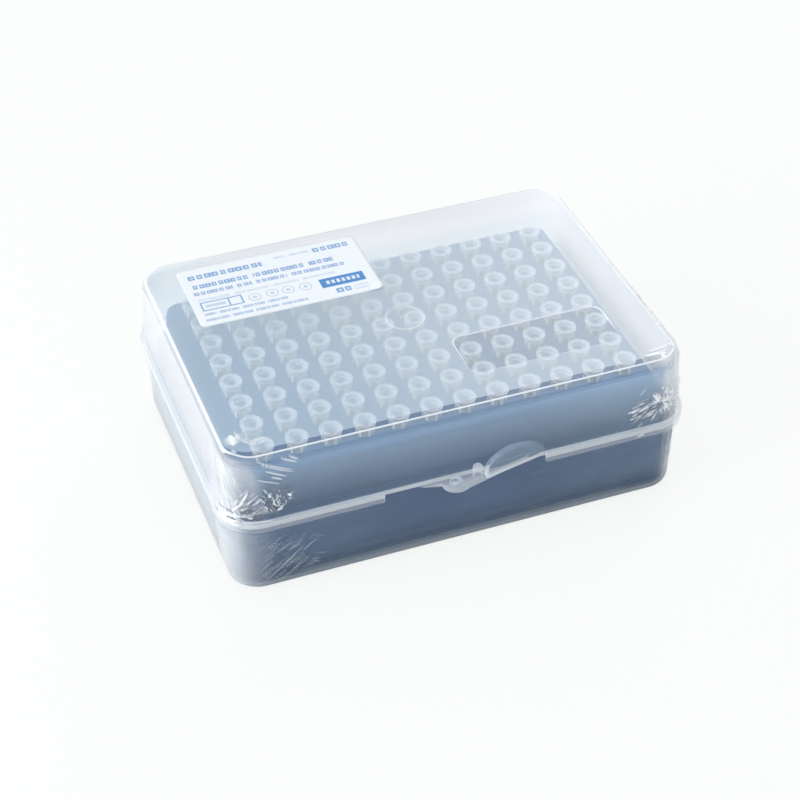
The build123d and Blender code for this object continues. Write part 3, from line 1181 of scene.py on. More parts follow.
def add_piece(
    name: str,
    points: np.ndarray,
    faces: list[tuple[int, ...]],
    material: bpy.types.Material,
    body: Body,
    slot: Slot,
) -> bpy.types.Object:
    """Makes a smooth mesh piece that rides on a body.

    Args:
        name: The piece's name.
        points: Its vertices in millimetres.
        faces: Its faces.
        material: Its finish.
        body: The body that it rides on.
        slot: The record's material slot; not used.

    Returns:
        The piece.
    """
    mesh = bpy.data.meshes.new(name)
    mesh.from_pydata((points * MM).tolist(), [], faces)
    mesh.materials.append(material)
    mesh.polygons.foreach_set("use_smooth", [True] * len(mesh.polygons))
    piece = bpy.data.objects.new(name, mesh)
    bpy.context.scene.collection.objects.link(piece)
    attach(piece, body.value)
    log.info("%s: %d faces on %s", name, len(faces), body.value)
    return piece


@dataclass
class Base:
    """The tray with its clasp tab and hinge ears.

    Attributes:
        corner: Its corner radius.
        edge_round: The rounding by the foot.
        top_half: Half the length and half the width of its rim.
    """

    corner: float = 8.6
    edge_round: float = 2.0
    top_half: Pair = (62.1, 44.7)

    def build(self) -> None:
        """Dresses the base."""
        dress("base", BasePlastic().material(self))


@dataclass
class Lid:
    """The hinged cover.

    Attributes:
        top_height: The height of its top.
        flange_top: The height of its flange's upper face.
        top_half: Half the length and half the width of its top.
        top_corner: The corner radius of its top.
        side_highlight: How far inside the top's outline the rim's painted highlight runs at the
            sides.
        front_highlight: How far inside it that painted highlight runs at the front.
        side_strip: How far inside the outline the frosting starts at the left.
        front_strip: How far inside it the frosting starts at the front.
        window_centre: The middle of the polished window.
        window_half: Half the window's length and width.
        window_corner: The window's corner radius.
        gate_centre: The middle of the round gate mark.
        gate_radius: Its radius.
        gate_scar: The radius of the scar in it.
        skirt_top: The height from which the skirt hangs.
        lip_cut: The finger lip's cut left end.
        lip_right: Its right end.
    """

    top_height: float = 42.75
    flange_top: float = 24.15
    top_half: Pair = (61.5, 44.1)
    top_corner: float = 8.0
    side_highlight: float = 0.6
    front_highlight: float = 1.9
    side_strip: float = 1.1
    front_strip: float = 4.2
    window_centre: Pair = (27.9, -22.7)
    window_half: Pair = (21.0, 8.0)
    window_corner: float = 3.0
    gate_centre: Pair = (-0.8, -2.2)
    gate_radius: float = 5.0
    gate_scar: float = 1.0
    skirt_top: float = 22.75
    lip_cut: float = 4.0
    lip_right: float = 21.6

    def build(self) -> None:
        """Dresses the lid."""
        dress("lid", LidPlastic().material(self))


@dataclass
class Rack:
    """The insert that holds the tips.

    Attributes:
        top: The height of its deck.
    """

    top: float = field(init=False)

    def __post_init__(self) -> None:
        """Takes the deck's height from the frame."""
        self.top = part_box("tip_rack")[1].z / MM

    def build(self) -> None:
        """Dresses the rack."""
        dress("tip_rack", RackPlastic().material(self))


@dataclass
class Tips:
    """The 96 tips, in twelve columns.

    Attributes:
        top: The height of the tips' rims.
        columns: How many columns there are.
        pitch: How far apart the tips are.
        face_inside: The inner radius of a rim's flat face.
        face_outside: Its outer radius.
        mouth: The radius of the mouth's lower edge.
        rim_foot: How far below the top the rim ends.
        collar: The collar's radius.
    """

    top: float = 36.8
    columns: int = 12
    pitch: float = 9.0
    face_inside: float = 2.05
    face_outside: float = 2.95
    mouth: float = 1.85
    rim_foot: float = 1.6
    collar: float = 2.2

    def build(self) -> None:
        """Dresses every column in one finish."""
        plastic = TipPlastic().material(self)
        for column in range(1, self.columns + 1):
            dress(f"tips_column_{column:02d}", plastic)


@dataclass
class Label:
    """The paper label on the lid's top, with one corner a little lifted.

    Attributes:
        thickness: How thick the paper is.
        corner: Its corner radius.
        lift: How far its free corner stands up.
        lift_reach: How much of the label the lift takes in.
        steps: How many cells it has along and across.
        centre: Its middle, in plan.
        half: Half its length and half its width.
        foot: The height of its lower face.
    """

    thickness: float = 0.1
    corner: float = 1.5
    lift: float = 0.35
    lift_reach: float = 9.0
    steps: tuple[int, int] = (72, 38)
    centre: Pair = field(init=False)
    half: Pair = field(init=False)
    foot: float = field(init=False)

    def __post_init__(self) -> None:
        """Takes the label's place from the frame."""
        low, high = (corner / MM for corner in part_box("label"))
        self.centre = tuple((low + high).xy / 2)
        self.half = tuple((high - low).xy / 2)
        self.foot = low.z

    def point(self, u: float, v: float) -> tuple[float, float, float]:
        """A point of the sheet, with the corners rounded and the free one lifted.

        Args:
            u: How far along the sheet it is, from the middle.
            v: How far across it is.

        Returns:
            The point in millimetres.
        """
        core = (self.half[0] - self.corner, self.half[1] - self.corner)
        beyond = Vector((max(abs(u) - core[0], 0), max(abs(v) - core[1], 0)))
        if beyond.x and beyond.y:
            beyond *= max(beyond) / beyond.length
            u = math.copysign(core[0] + beyond.x, u)
            v = math.copysign(core[1] + beyond.y, v)
        from_corner = math.hypot(self.half[0] - u, -self.half[1] - v)
        rise = max(0.0, 1 - from_corner / self.lift_reach) ** 2
        return self.centre[0] + u, self.centre[1] + v, self.foot + self.lift * rise

    def build(self) -> None:
        """Builds the sheet and puts it in the label's place."""
        along, across = self.steps
        points = [
            self.point((2 * i / along - 1) * self.half[0], (2 * j / across - 1) * self.half[1])
            for j in range(across + 1)
            for i in range(along + 1)
        ]
        row = along + 1
        faces = [
            (j * row + i, j * row + i + 1, (j + 1) * row + i + 1, (j + 1) * row + i)
            for j in range(across)
            for i in range(along)
        ]
        paper = LabelPaper().material(self)
        piece = add_piece("label_sheet", np.array(points), faces, paper, Body.LID, Slot.LABEL)
        skin = piece.modifiers.new("thickness", "SOLIDIFY")
        skin.thickness = self.thickness * MM
        skin.offset = 1.0
        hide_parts("label")


@dataclass(frozen=True)
class Fold:
    """One crease, drawn on the wall as it would lie unrolled.

    Attributes:
        start: Where it starts: along the wall from the middle of the front, and up.
        end: Where it ends.
        width: How wide it is at its middle.
        height: How far it stands out; less than nothing is a dent.
        tone: From -1, dark, to 1, white: painted shade to painted highlight.
    """

    start: Pair
    end: Pair
    width: float
    height: float
    tone: float

    # the share of its width that it has at its ends
    TIP = 0.3

    def profile(self, along: np.ndarray, up: np.ndarray) -> np.ndarray:
        """How much of the crease there is at each point.

        Args:
            along: The points' places along the wall.
            up: The points' heights.

        Returns:
            1 on the crest, falling to 0 at the crease's sides and ends.
        """
        run = np.array(self.end) - np.array(self.start)
        along = along - self.start[0]
        up = up - self.start[1]
        share = np.clip((along * run[0] + up * run[1]) / (run @ run), 0.0, 1.0)
        off = np.hypot(along - share * run[0], up - share * run[1])
        waist = self.width * (self.TIP + (1 - self.TIP) * np.sqrt(np.sin(np.pi * share)))
        return np.clip(1 - off / waist, 0.0, 1.0)


@dataclass(frozen=True)
class Crinkle:
    """A patch where the film has gathered into short creases.

    Attributes:
        hub: The point that the creases run towards.
        centre: The patch's middle.
        reach: The patch's half length and half height.
        count: How many creases it has.
        length: The shortest and the longest crease.
        width: The narrowest and the widest crease.
        height: How far the highest stands out.
        tone: The darkest and the whitest crease, painted shade and highlight.
        wander: How far a crease may turn from the line to the hub, in radians.
        seed: The random seed.
    """

    hub: Pair
    centre: Pair
    reach: Pair
    count: int
    length: Pair
    width: Pair
    height: float
    tone: Pair
    wander: float
    seed: int

    # the share of the greatest height that the lowest crease has
    LOWEST = 0.4

    def folds(self) -> list[Fold]:
        """The patch's creases."""
        dice = random.Random(self.seed)
        made = []
        for _ in range(self.count):
            angle = dice.uniform(0, 2 * math.pi)
            radius = math.sqrt(dice.random())
            x = self.centre[0] + self.reach[0] * radius * math.cos(angle)
            z = self.centre[1] + self.reach[1] * radius * math.sin(angle)
            turn = math.atan2(z - self.hub[1], x - self.hub[0])
            turn += dice.uniform(-self.wander, self.wander)
            half = dice.uniform(*self.length) / 2
            step = (half * math.cos(turn), half * math.sin(turn))
            tone = dice.uniform(*self.tone)
            width = dice.uniform(*self.width)
            height = math.copysign(dice.uniform(self.LOWEST, 1.0) * self.height, tone)
            start, end = (x - step[0], z - step[1]), (x + step[0], z + step[1])
            made.append(Fold(start, end, width, height, tone))
        return made


@dataclass(frozen=True)
class Station:
    """One place round the box: a point on the core rectangle, the way out, and the run so far.

    Attributes:
        x: The core point's place along the box.
        y: The core point's place across it.
        out_x: The outward direction, along.
        out_y: The outward direction, across.
        along: The distance along the wall from the middle of the front.
    """

    x: float
    y: float
    out_x: float
    out_y: float
    along: float


@dataclass(frozen=True)
class Ring:
    """One level of a skin.

    Attributes:
        height: Its height.
        reach: How far it stands out of the core rectangle.
        shrink: What the core rectangle is scaled to, for the rings across the top.
    """

    height: float
    reach: float
    shrink: float = 1.0


def stretches(*ends: tuple[float, int]) -> list[float]:
    """The starts of small steps from 0 on, even within each stretch.

    Args:
        ends: Where each stretch ends, and how many steps it has.

    Returns:
        The steps' starts.
    """
    made = []
    start = 0.0
    for end, count in ends:
        made += [start + (end - start) * i / count for i in range(count)]
        start = end
    return made


@dataclass
class Skin(ABC):
    """What both skins of film share: the way round the box, and how creases shape it.

    Attributes:
        node: The frame node that the skin stands for.
        body: The body that it rides on.
        bulge_level: The height at which its bulge over the clasp stands out furthest.
        bulge_fall: How fast the bulge draws in above and below that.
        bulge_top: The height above which there is none.
        bulge_peak: How far it stands out of the core rectangle.
        bulge_x: Where that is.
        bulge_half: Half its length.
        bulge_soft: How softly it goes over into the film beside it.
        core: Half the length and width of the rectangle that all outlines are offset from.
        corner: The usual corner radius.
        flange_reach: How far the flange stands out of the core rectangle.
        stand_off: The film's distance from the plastic.
        hinge_half: Half the length of the opening round the hinges.
        hinge_low: The height of its lower edge.
        hinge_top: The height of its upper edge.
        left_creased: How much of the left side is fine enough for creases, at its front end.
        front_creased: How much of the front is, at each end.
        right_rippled: How much of the right side is, at its front end.
        most_out: How far creases can take the film from where it lies.
        dent: How deep a dent may be where the film touches the plastic.
        dent_share: How much deeper it may be where the film stands off.
        wall_edge: How far below the top creases reach their full height.
        wave: How far the film's long soft waves go.
    """

    CREASE = "crease"
    # the waves' turns, in radians to a millimetre along the wall and up it
    WAVES = ((0.9, 0.35), (0.37, -0.8))

    node: str
    body: Body
    bulge_level: float
    bulge_fall: float
    bulge_top: float = 37.95
    bulge_peak: float = 14.0
    bulge_x: float = 1.5
    bulge_half: float = 30.0
    bulge_soft: float = 0.8
    core: Pair = (53.5, 36.1)
    corner: float = 8.8
    flange_reach: float = 10.1
    stand_off: float = 0.22
    hinge_half: float = 43.0
    hinge_low: float = 17.8
    hinge_top: float = 27.8
    left_creased: float = 12.0
    front_creased: float = 12.5
    right_rippled: float = 28.0
    most_out: float = 0.7
    dent: float = 0.15
    dent_share: float = 0.6
    wall_edge: float = 0.8
    wave: float = 0.06

    @abstractmethod
    def rings(self) -> list[Ring]:
        """The levels, from the first to the last."""

    @abstractmethod
    def folds(self) -> list[Fold]:
        """The creases of the walls."""

    def top_folds(self) -> list[Fold]:
        """The creases of the top, drawn in plan."""
        return []

    def steps(self) -> list[list[float]]:
        """Where the stations of the left, front, right and back stand, as shares of each side."""
        length, width = 2 * self.core[0], 2 * self.core[1]
        creased = self.left_creased / width
        edge = self.front_creased / length
        rippled = self.right_rippled / width
        cut = (self.core[0] - self.hinge_half) / length
        return [
            stretches((1 - creased, 14), (1, 40)),
            stretches((edge, 76), (1 - edge, 50), (1, 76)),
            stretches((rippled, 70), (1, 10)),
            stretches((cut, 2), (1 - cut, 16), (1, 2)),
        ]

    def stations(self) -> list[Station]:
        """The places round the box, from its back left corner by the left side and the front."""
        half_x, half_y = self.core
        arc = self.corner * math.pi / 2
        left, front, right, back = self.steps()
        # a corner's centre, its first outward angle, its steps, and the side that follows it
        legs = (
            ((-half_x, half_y), 90, 14, left),
            ((-half_x, -half_y), 180, 72, front),
            ((half_x, -half_y), 270, 72, right),
            ((half_x, half_y), 0, 14, back),
        )
        made = []
        # the run is measured from the middle of the front
        along = -(half_x + arc + 2 * half_y + arc)
        for (centre, first, count, places), (after, *_) in zip(legs, legs[1:] + legs[:1]):
            for i in range(count):
                turn = math.radians(first + 90 * i / count)
                way = (math.cos(turn), math.sin(turn))
                made.append(Station(*centre, *way, along + arc * i / count))
            along += arc
            turn = math.radians(first + 90)
            way = (round(math.cos(turn)), round(math.sin(turn)))
            run = (after[0] - centre[0], after[1] - centre[1])
            for share in places:
                here = (centre[0] + run[0] * share, centre[1] + run[1] * share)
                made.append(Station(*here, *way, along + share * math.hypot(*run)))
            along += math.hypot(*run)
        return made

    def reach(self, station: Station, ring: Ring) -> float:
        """How far out the film is, with its bulge over the clasp.

        Args:
            station: The place round the box.
            ring: The level.

        Returns:
            The ring's reach, or at the front the larger of that and the bulge's, with a
            rounded change-over.
        """
        if station.out_y != -1 or ring.height > self.bulge_top:
            return ring.reach
        share = (station.x - self.bulge_x) / self.bulge_half
        bulge = self.flange_reach + (self.bulge_peak - self.flange_reach) * (1 - share * share)
        bulge -= self.bulge_fall * abs(ring.height - self.bulge_level)
        gap = max(self.bulge_soft - abs(ring.reach - bulge), 0.0) / self.bulge_soft
        return max(ring.reach, bulge) + gap * gap * self.bulge_soft / 4

    def keep(self, station: Station, ring: Ring) -> bool:
        """Whether there is film at a station and a ring, and not the opening at the back."""
        at_hinges = station.out_y == 1 and abs(station.x) < self.hinge_half
        return not (at_hinges and self.hinge_low < ring.height < self.hinge_top)

    def weave(self) -> tuple[np.ndarray, list[tuple[int, ...]], np.ndarray]:
        """Stretches the film over the rings and presses the creases into it.

        Returns:
            The points, the faces, and each point's tone, the creases' painted highlight and shade.
        """
        rings = self.rings()
        stations = self.stations()
        across = len(stations)
        reach = np.array([[self.reach(s, r) for s in stations] for r in rings])
        shrink = np.array([[r.shrink] * across for r in rings])
        along = np.array([[s.along for s in stations] for _ in rings])
        up = np.array([[r.height for _ in stations] for r in rings])
        out = np.zeros_like(reach)
        tone = np.zeros_like(reach)
        for fold in self.folds():
            share = fold.profile(along, up)
            out += fold.height * share
            tone += fold.tone * share
        on_wall = np.clip((up.max() - up) / self.wall_edge, 0.0, 1.0)
        out = np.clip(out, -self.most_out, self.most_out) * on_wall
        tone *= on_wall
        deepest = -self.dent - (reach - reach.min(axis=0)) * self.dent_share
        waves = sum(np.sin(along * a + up * b) for a, b in self.WAVES)
        reach = reach + self.stand_off + np.maximum(out, deepest) + self.wave * waves
        way = np.array([[s.x, s.y, s.out_x, s.out_y] for s in stations])
        x = (way[:, 0] + reach * way[:, 2]) * shrink
        y = (way[:, 1] + reach * way[:, 3]) * shrink
        for fold in self.top_folds():
            share = fold.profile(x, y) * (1 - on_wall)
            up = up + fold.height * share
            tone += fold.tone * share
        points = np.stack((x, y, up), axis=-1)
        faces = []
        for j in range(len(rings) - 1):
            for i in range(across):
                k = (i + 1) % across
                if not (self.keep(stations[i], rings[j]) or self.keep(stations[k], rings[j + 1])):
                    continue
                next_edge = ((j + 1) * across + i, (j + 1) * across + k)
                if rings[j].shrink:
                    faces.append((j * across + i, *next_edge, j * across + k))
                else:
                    # a ring that is shrunk to a point is one vertex
                    faces.append((j * across, *next_edge))
        return points.reshape(-1, 3), faces, np.clip(tone, -1, 1).reshape(-1)

    def build(self) -> None:
        """Builds the skin, without the points that no face uses, in its node's place."""
        points, faces, tone = self.weave()
        used = sorted({i for face in faces for i in face})
        place = {old: new for new, old in enumerate(used)}
        faces = [tuple(place[i] for i in face) for face in faces]
        name = f"{self.node}_skin"
        film = FilmPlastic().material(f"{name}_plastic")
        piece = add_piece(name, points[used], faces, film, self.body, Slot.FILM)
        creases = piece.data.attributes.new(self.CREASE, "FLOAT", "POINT")
        creases.data.foreach_set("value", tone[used].astype(np.float32))
        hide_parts(self.node)


@dataclass
class UpperSkin(Skin):
    """The film over the lid, out over its flange and down its skirt.

    Attributes:
        top: The height of the flat top.
        top_reach: How far the flat top reaches out of the core rectangle, edge included.
        edge: The radius of the top's edge.
        plain_top: The share of the top, from its middle, that has only a few rings.
        tent: The height at which the film leaves the wall for the flange.
        flange_top: The height at which it reaches the flange.
        flare: How late it turns outward below the tent.
        wall_foot: The height at which the wall stands out by the corner radius.
        draft: The wall's lean, in degrees.
        low: The height of its lower edge.
        wall_step: The distance of the rings above the flange.
        skirt_step: Their distance below it.
    """

    # what Skin asks for
    node: str = "film_upper"
    body: Body = Body.LID
    bulge_level: float = 21.35
    bulge_fall: float = 0.2126
    # its own sizes
    top: float = 42.95
    top_reach: float = 8.1
    edge: float = 2.1
    plain_top: float = 0.76
    tent: float = 29.2
    flange_top: float = 24.2
    flare: float = 1.15
    wall_foot: float = 23.05
    draft: float = 2.3
    low: float = 21.35
    wall_step: float = 0.2
    skirt_step: float = 0.4

    def rings(self) -> list[Ring]:
        """The levels, from the middle of the top down to the lower edge."""
        flat = self.top_reach - self.edge
        made = [Ring(self.top, flat, share) for share in stretches((self.plain_top, 8), (1, 42))]
        for turn in stretches((math.pi / 2, 8)):
            height = self.top - self.edge * (1 - math.cos(turn))
            made.append(Ring(height, flat + self.edge * math.sin(turn)))
        height = self.top - self.edge
        while height > self.low + self.wall_step / 2:
            reach = self.corner - (height - self.wall_foot) * math.tan(math.radians(self.draft))
            if height < self.tent:
                share = min((self.tent - height) / (self.tent - self.flange_top), 1.0)
                reach += (self.flange_reach - reach) * share**self.flare
            made.append(Ring(height, reach))
            height -= self.wall_step if height > self.flange_top else self.skirt_step
        made.append(Ring(self.low, self.flange_reach))
        return made

    def ripples(self) -> list[Fold]:
        """Short ripples across the right end of the top's edge, each a painted highlight beside a
        painted shade.
        """
        first, last, head, foot = 68.0, 94.0, 42.7, 42.4
        fade = 40.0
        beside = 0.6
        dice = random.Random(3)
        made = []
        along = first
        while along < last:
            depth = dice.uniform(0.8, 2.2) * (1.2 - (along - first) / fade)
            low = foot - depth
            lean = along + dice.uniform(-0.4, 0.8)
            made.append(Fold((along, head), (lean, low), 0.34, 0.35, 0.5))
            made.append(Fold((along + beside, head), (lean + beside, low), 0.28, -0.3, -0.32))
            along += dice.uniform(0.9, 1.4)
        return made

    def folds(self) -> list[Fold]:
        """The creases at both front corners, painted with highlights and shade."""
        made = [
            # bright streaks under the left end of the front rim: creases with painted highlights
            Fold((-48.2, 42.0), (-44.6, 40.2), 0.36, 0.35, 1.0),
            Fold((-46.2, 42.0), (-44.0, 40.9), 0.36, 0.35, 0.9),
            Fold((-54.4, 42.4), (-45.6, 38.0), 0.30, 0.30, 0.8),
            Fold((-53.8, 41.6), (-45.6, 37.3), 0.30, 0.30, 0.8),
            Fold((-52.6, 39.4), (-47.4, 36.6), 0.36, 0.35, 0.9),
            Fold((-51.0, 37.2), (-48.6, 35.9), 0.36, 0.35, 1.0),
            Fold((-54.8, 37.4), (-49.2, 34.6), 0.30, 0.30, 0.75),
            Fold((-53.4, 34.2), (-51.6, 31.0), 0.30, 0.4, 0.9),
            Fold((-53.8, 33.6), (-52.2, 30.4), 0.25, -0.4, -0.8),
            # and low on the wall
            Fold((-50.2, 27.3), (-49.0, 27.4), 0.50, 0.4, 1.2),
            Fold((-60.0, 26.2), (-51.0, 27.4), 0.35, 0.25, 0.45),
            Fold((-58.6, 25.2), (-50.6, 26.2), 0.40, -0.25, -0.4),
            Fold((47.6, 34.4), (49.2, 36.6), 0.22, 0.2, 0.6),
            # pale gathered film round the left corner and among its creases, a painted glare
            # without relief
            Fold((-56.4, 39.0), (-55.2, 31.0), 3.4, 0.0, 0.15),
            Fold((-57.0, 26.0), (-53.0, 28.4), 3.2, 0.0, 0.34),
            # and under the right end of the front rim
            Fold((55.0, 40.6), (56.0, 34.0), 2.2, 0.15, 0.42),
            # a bubble on the flange
            Fold((47.2, 22.6), (48.8, 22.9), 0.4, 0.35, 1.0),
            Fold((46.9, 22.2), (47.5, 22.8), 0.3, 0.3, 0.9),
        ]
        # each crease's tone paints it with a highlight or a shade
        patches = (
            # dense crossing creases on the front, beside the left corner
            Crinkle(
                hub=(-52, 24), centre=(-50.2, 30.2), reach=(3.7, 3.4),
                count=120, length=(0.9, 2.8), width=(0.20, 0.36),
                height=0.55, tone=(-1.1, 1.1), wander=1.3, seed=5,
            ),
            # soft creases that fan out left of them
            Crinkle(
                hub=(-64.0, 24), centre=(-57.6, 30.0), reach=(3.8, 3.2),
                count=30, length=(2.0, 4.6), width=(0.2, 0.4),
                height=0.3, tone=(0.0, 0.6), wander=0.25, seed=7,
            ),
            # dark ones between them and the flange, painted shade
            Crinkle(
                hub=(-75, 24), centre=(-54.6, 27.0), reach=(3.6, 1.4),
                count=26, length=(1.4, 3.4), width=(0.2, 0.4),
                height=0.4, tone=(-0.9, 0.7), wander=0.3, seed=23,
            ),
            # fine brushed lines round the left corner
            Crinkle(
                hub=(-48, 6), centre=(-66.5, 33.0), reach=(7.5, 8.0),
                count=70, length=(4.0, 9.0), width=(0.2, 0.4),
                height=0.1, tone=(-0.04, 0.14), wander=0.12, seed=9,
            ),
            # creases that run along the flange at that corner
            Crinkle(
                hub=(-30, 22), centre=(-60.0, 25.4), reach=(7.0, 1.8),
                count=30, length=(2.0, 5.0), width=(0.22, 0.45),
                height=0.3, tone=(-0.4, 0.8), wander=0.25, seed=19,
            ),
            # streaks beside the right corner
            Crinkle(
                hub=(57, 32.6), centre=(49.0, 29.4), reach=(3.6, 3.2),
                count=64, length=(1.6, 4.4), width=(0.18, 0.32),
                height=0.5, tone=(-0.9, 1.1), wander=0.2, seed=11,
            ),
            # bright gathered creases on it, painted highlights
            Crinkle(
                hub=(54.8, 31.0), centre=(54.8, 31.8), reach=(3.0, 3.8),
                count=130, length=(1.0, 3.0), width=(0.20, 0.38),
                height=0.5, tone=(-0.5, 1.2), wander=0.9, seed=13,
            ),
            # and softer ones round it
            Crinkle(
                hub=(54.8, 31.5), centre=(60.0, 30.0), reach=(4.6, 4.6),
                count=44, length=(1.6, 4.0), width=(0.25, 0.5),
                height=0.3, tone=(-0.1, 0.5), wander=0.45, seed=15,
            ),
        )
        made += self.ripples()
        for patch in patches:
            made += patch.folds()
        return made

    def top_folds(self) -> list[Fold]:
        """The creases on the top, at its front corners, with painted highlights."""
        made = [
            # a white patch and a curved band at the left, painted highlights
            Fold((-57.6, -33.0), (-57.9, -36.4), 2.3, 0.2, 1.0),
            Fold((-59.0, -38.2), (-58.2, -39.6), 0.5, 0.2, 0.7),
            # bright gathered film at the right, painted highlights
            Fold((50.6, -39.7), (56.4, -40.3), 0.7, 0.25, 0.7),
            Fold((54.6, -42.6), (55.4, -40.2), 0.8, 0.2, 0.6),
            Fold((52.4, -38.4), (56.0, -38.1), 0.4, 0.2, 0.6),
            Fold((55.6, -38.1), (59.4, -37.5), 0.35, 0.2, 0.55),
            Fold((58.6, -36.6), (60.2, -39.6), 0.5, 0.2, 0.4),
        ]
        outer = ((-56.4, -31.6), (-56.0, -35.0), (-54.1, -37.5), (-52.1, -37.9), (-50.2, -37.4))
        inner = ((-55.8, -32.7), (-55.2, -35.0), (-53.6, -36.7), (-51.8, -36.9), (-50.1, -36.3))
        height = 0.08
        for path, width, tone in ((outer, 0.42, 0.55), (inner, 1.1, 0.32)):
            made += [Fold(a, b, width, height, tone) for a, b in zip(path, path[1:])]
        return made


@dataclass
class LowerSkin(Skin):
    """The film under the flange and down the base.

    Attributes:
        top: The height of its upper edge.
        tent: The height at which it reaches the base's wall.
        flare: How late it turns outward above that.
        foot_reach: How far the base's wall would reach out of the core rectangle at the floor.
        draft: The wall's lean, in degrees.
        edge: The radius of the bottom's edge.
        low: The height of its lower edge.
        wall_step: The distance of the rings on the wall.
        edge_step: Their distance on the edge.
        scratches: How many fine scratches it has beside the left corner.
    """

    # what Skin asks for
    node: str = "film_lower"
    body: Body = Body.BASE
    bulge_level: float = 21.25
    bulge_fall: float = 1.25
    # its own sizes
    top: float = 21.25
    tent: float = 16.4
    flare: float = 1.1
    foot_reach: float = 8.0
    draft: float = 1.5
    edge: float = 2.2
    low: float = 0.5
    wall_step: float = 0.5
    edge_step: float = 0.3
    scratches: int = 38

    def rings(self) -> list[Ring]:
        """The levels, from the upper edge down to the lower one."""
        made = []
        height = self.top
        while height > self.edge:
            reach = self.foot_reach + height * math.tan(math.radians(self.draft))
            if height > self.tent:
                share = (height - self.tent) / (self.top - self.tent)
                reach += (self.flange_reach - reach) * share**self.flare
            made.append(Ring(height, reach))
            height -= self.wall_step
        while height > self.low:
            turn = math.asin(min((self.edge - height) / self.edge, 1.0))
            made.append(Ring(height, self.foot_reach - self.edge * (1 - math.cos(turn))))
            height -= self.edge_step
        return made

    def folds(self) -> list[Fold]:
        """The long stretch lines beside the left corner, and fine scratches among them, both
        painted bright as highlights.
        """
        slope = 0.75
        made = [
            Fold((-53.6, 3.6), (-43.8, 12.2), 0.3, 0.15, 0.40),
            Fold((-51.0, 1.8), (-42.6, 8.0), 0.3, 0.12, 0.28),
        ]
        dice = random.Random(29)
        for _ in range(self.scratches):
            along = dice.uniform(-56.0, -42.0)
            low = dice.uniform(2.0, 15.0)
            length = dice.uniform(1.5, 5.5)
            tone = dice.uniform(0.08, 0.34)
            end = (along + length, low + length * slope)
            made.append(Fold((along, low), end, 0.22, 0.1, tone))
        return made


# --- studio ----------------------------------------------------------------------------------


@dataclass(frozen=True)
class Softbox:
    """A square lamp.

    Attributes:
        name: Its name.
        place: Where it hangs, in millimetres.
        size: Its side, in millimetres.
        power: Its power in watts.
    """

    name: str
    place: tuple[float, float, float]
    size: float
    power: float

    def build(self, target: Vector) -> None:
        """Hangs the lamp and turns it to the target."""
        lamp = bpy.data.lights.new(self.name, "AREA")
        lamp.shape = "SQUARE"
        lamp.size = self.size * MM
        lamp.energy = self.power
        piece = bpy.data.objects.new(self.name, lamp)
        piece.location = Vector(self.place) * MM
        piece.rotation_euler = (target - piece.location).to_track_quat("-Z", "Y").to_euler()
        bpy.context.scene.collection.objects.link(piece)
        log.info("%s: a lamp of %.1f W", self.name, self.power)


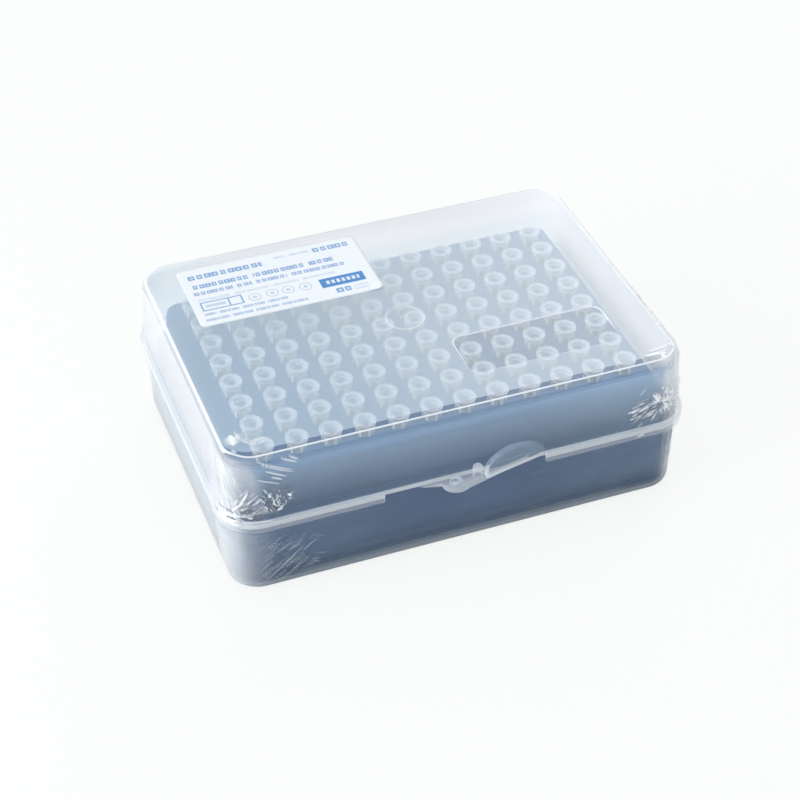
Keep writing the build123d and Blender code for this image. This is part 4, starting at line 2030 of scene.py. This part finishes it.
@dataclass
class Studio:
    """The pale floor, the lamps, the world and the camera.

    Attributes:
        azimuth: The camera's turn round the box, in degrees.
        elevation: The camera's angle above the floor, in degrees.
        roll: The camera's roll, in degrees.
        distance: The camera's distance from its target.
        target: What the camera looks at.
        lens: The camera's lens, in millimetres.
        sensor: The width of its sensor, in millimetres.
        sight: The nearest and the farthest that it sees.
        floor: The floor's colour.
        floor_matt: The floor's roughness.
        floor_half: Half the floor's side.
        floor_drop: How far it lies under the box.
        glow: Its colour where the camera sees it.
        glow_share: How far it goes over to that.
        backdrop: How bright the floor and the world are where the camera sees them.
        sky: The world's colour.
        daylight: The world's strength.
        bounces: How often light may bounce, and pass clear surfaces.
        lamps: The lamps.
    """

    azimuth: float = -20.29
    elevation: float = 39.03
    roll: float = -0.19
    distance: float = 502.9
    target: tuple[float, float, float] = (-11.47, -27.21, 36.8)
    lens: float = 89.1
    sensor: float = 36.0
    sight: Pair = (10.0, 20000.0)
    floor: Colour = (0.86, 0.87, 0.88, 1.0)
    floor_matt: float = 0.9
    floor_half: float = 3000.0
    floor_drop: float = 0.2
    glow: Colour = (0.985, 1.0, 0.985, 1.0)
    glow_share: float = 0.85
    backdrop: float = 1.0
    sky: Colour = (0.97, 0.985, 1.0, 1.0)
    daylight: float = 0.60
    bounces: tuple[int, int] = (16, 64)
    lamps: tuple[Softbox, ...] = (
        Softbox("key", (-780.0, -80.0, 300.0), 500.0, 4.6),
        Softbox("back", (700.0, 900.0, 640.0), 520.0, 3.6),
        Softbox("over", (-60.0, 60.0, 950.0), 600.0, 1.9),
    )

    def build_camera(self) -> None:
        """Sets the camera up."""
        camera = bpy.data.cameras.new("camera")
        camera.lens = self.lens
        camera.sensor_width = self.sensor
        camera.clip_start, camera.clip_end = (limit * MM for limit in self.sight)
        piece = bpy.data.objects.new("camera", camera)
        turn, tilt = math.radians(self.azimuth), math.radians(self.elevation)
        level = math.cos(tilt)
        back = Vector((math.sin(turn) * level, -math.cos(turn) * level, math.sin(tilt)))
        place = Matrix.Translation((Vector(self.target) + back * self.distance) * MM)
        aim = (-back).to_track_quat("-Z", "Y").to_matrix().to_4x4()
        spin = Matrix.Rotation(math.radians(self.roll), 4, "Z")
        piece.matrix_world = place @ aim @ spin
        bpy.context.scene.collection.objects.link(piece)
        bpy.context.scene.camera = piece

    def build_floor(self) -> None:
        """Lays a pale floor that looks white and keeps the box's shadow."""
        graph = Graph("pale_floor")
        body = graph.principled({"Base Color": self.floor, "Roughness": self.floor_matt})
        light = {"Color": self.glow, "Strength": self.backdrop}
        glow = graph.node("ShaderNodeEmission", inputs=light)
        seen = graph.seen_directly() * self.glow_share
        half = self.floor_half * MM
        corners = [(-half, -half, 0), (half, -half, 0), (half, half, 0), (-half, half, 0)]
        mesh = bpy.data.meshes.new("floor")
        mesh.from_pydata(corners, [], [(0, 1, 2, 3)])
        mesh.materials.append(graph.finish(graph.mix(seen, body, glow)))
        floor = bpy.data.objects.new("floor", mesh)
        floor.location.z = -self.floor_drop * MM
        bpy.context.scene.collection.objects.link(floor)

    def build_world(self) -> None:
        """Fills the room with even light; where it is seen, straight or mirrored, it is white."""
        graph = Graph("studio", Owner.WORLD)
        even, seen = (
            graph.node("ShaderNodeBackground", inputs={"Color": self.sky, "Strength": strength})
            for strength in (self.daylight, self.backdrop)
        )
        bpy.context.scene.world = graph.finish(graph.mix(graph.seen_directly(), even, seen))

    def build(self) -> None:
        """Sets up the studio."""
        scene = bpy.context.scene
        scene.view_settings.view_transform = "Standard"
        scene.cycles.max_bounces, scene.cycles.transparent_max_bounces = self.bounces
        self.build_camera()
        self.build_floor()
        self.build_world()
        for lamp in self.lamps:
            lamp.build(Vector(self.target) * MM)
        log.info("studio: camera, floor, world and %d lamps", len(self.lamps))


def main() -> None:
    """Builds the studio and the box, piece by piece."""
    logging.basicConfig(level=logging.INFO, format="%(message)s")
    Studio().build()
    for part in (Base(), Rack(), Tips(), Lid(), Label(), LowerSkin(), UpperSkin()):
        part.build()


if __name__ == "__main__":
    main()
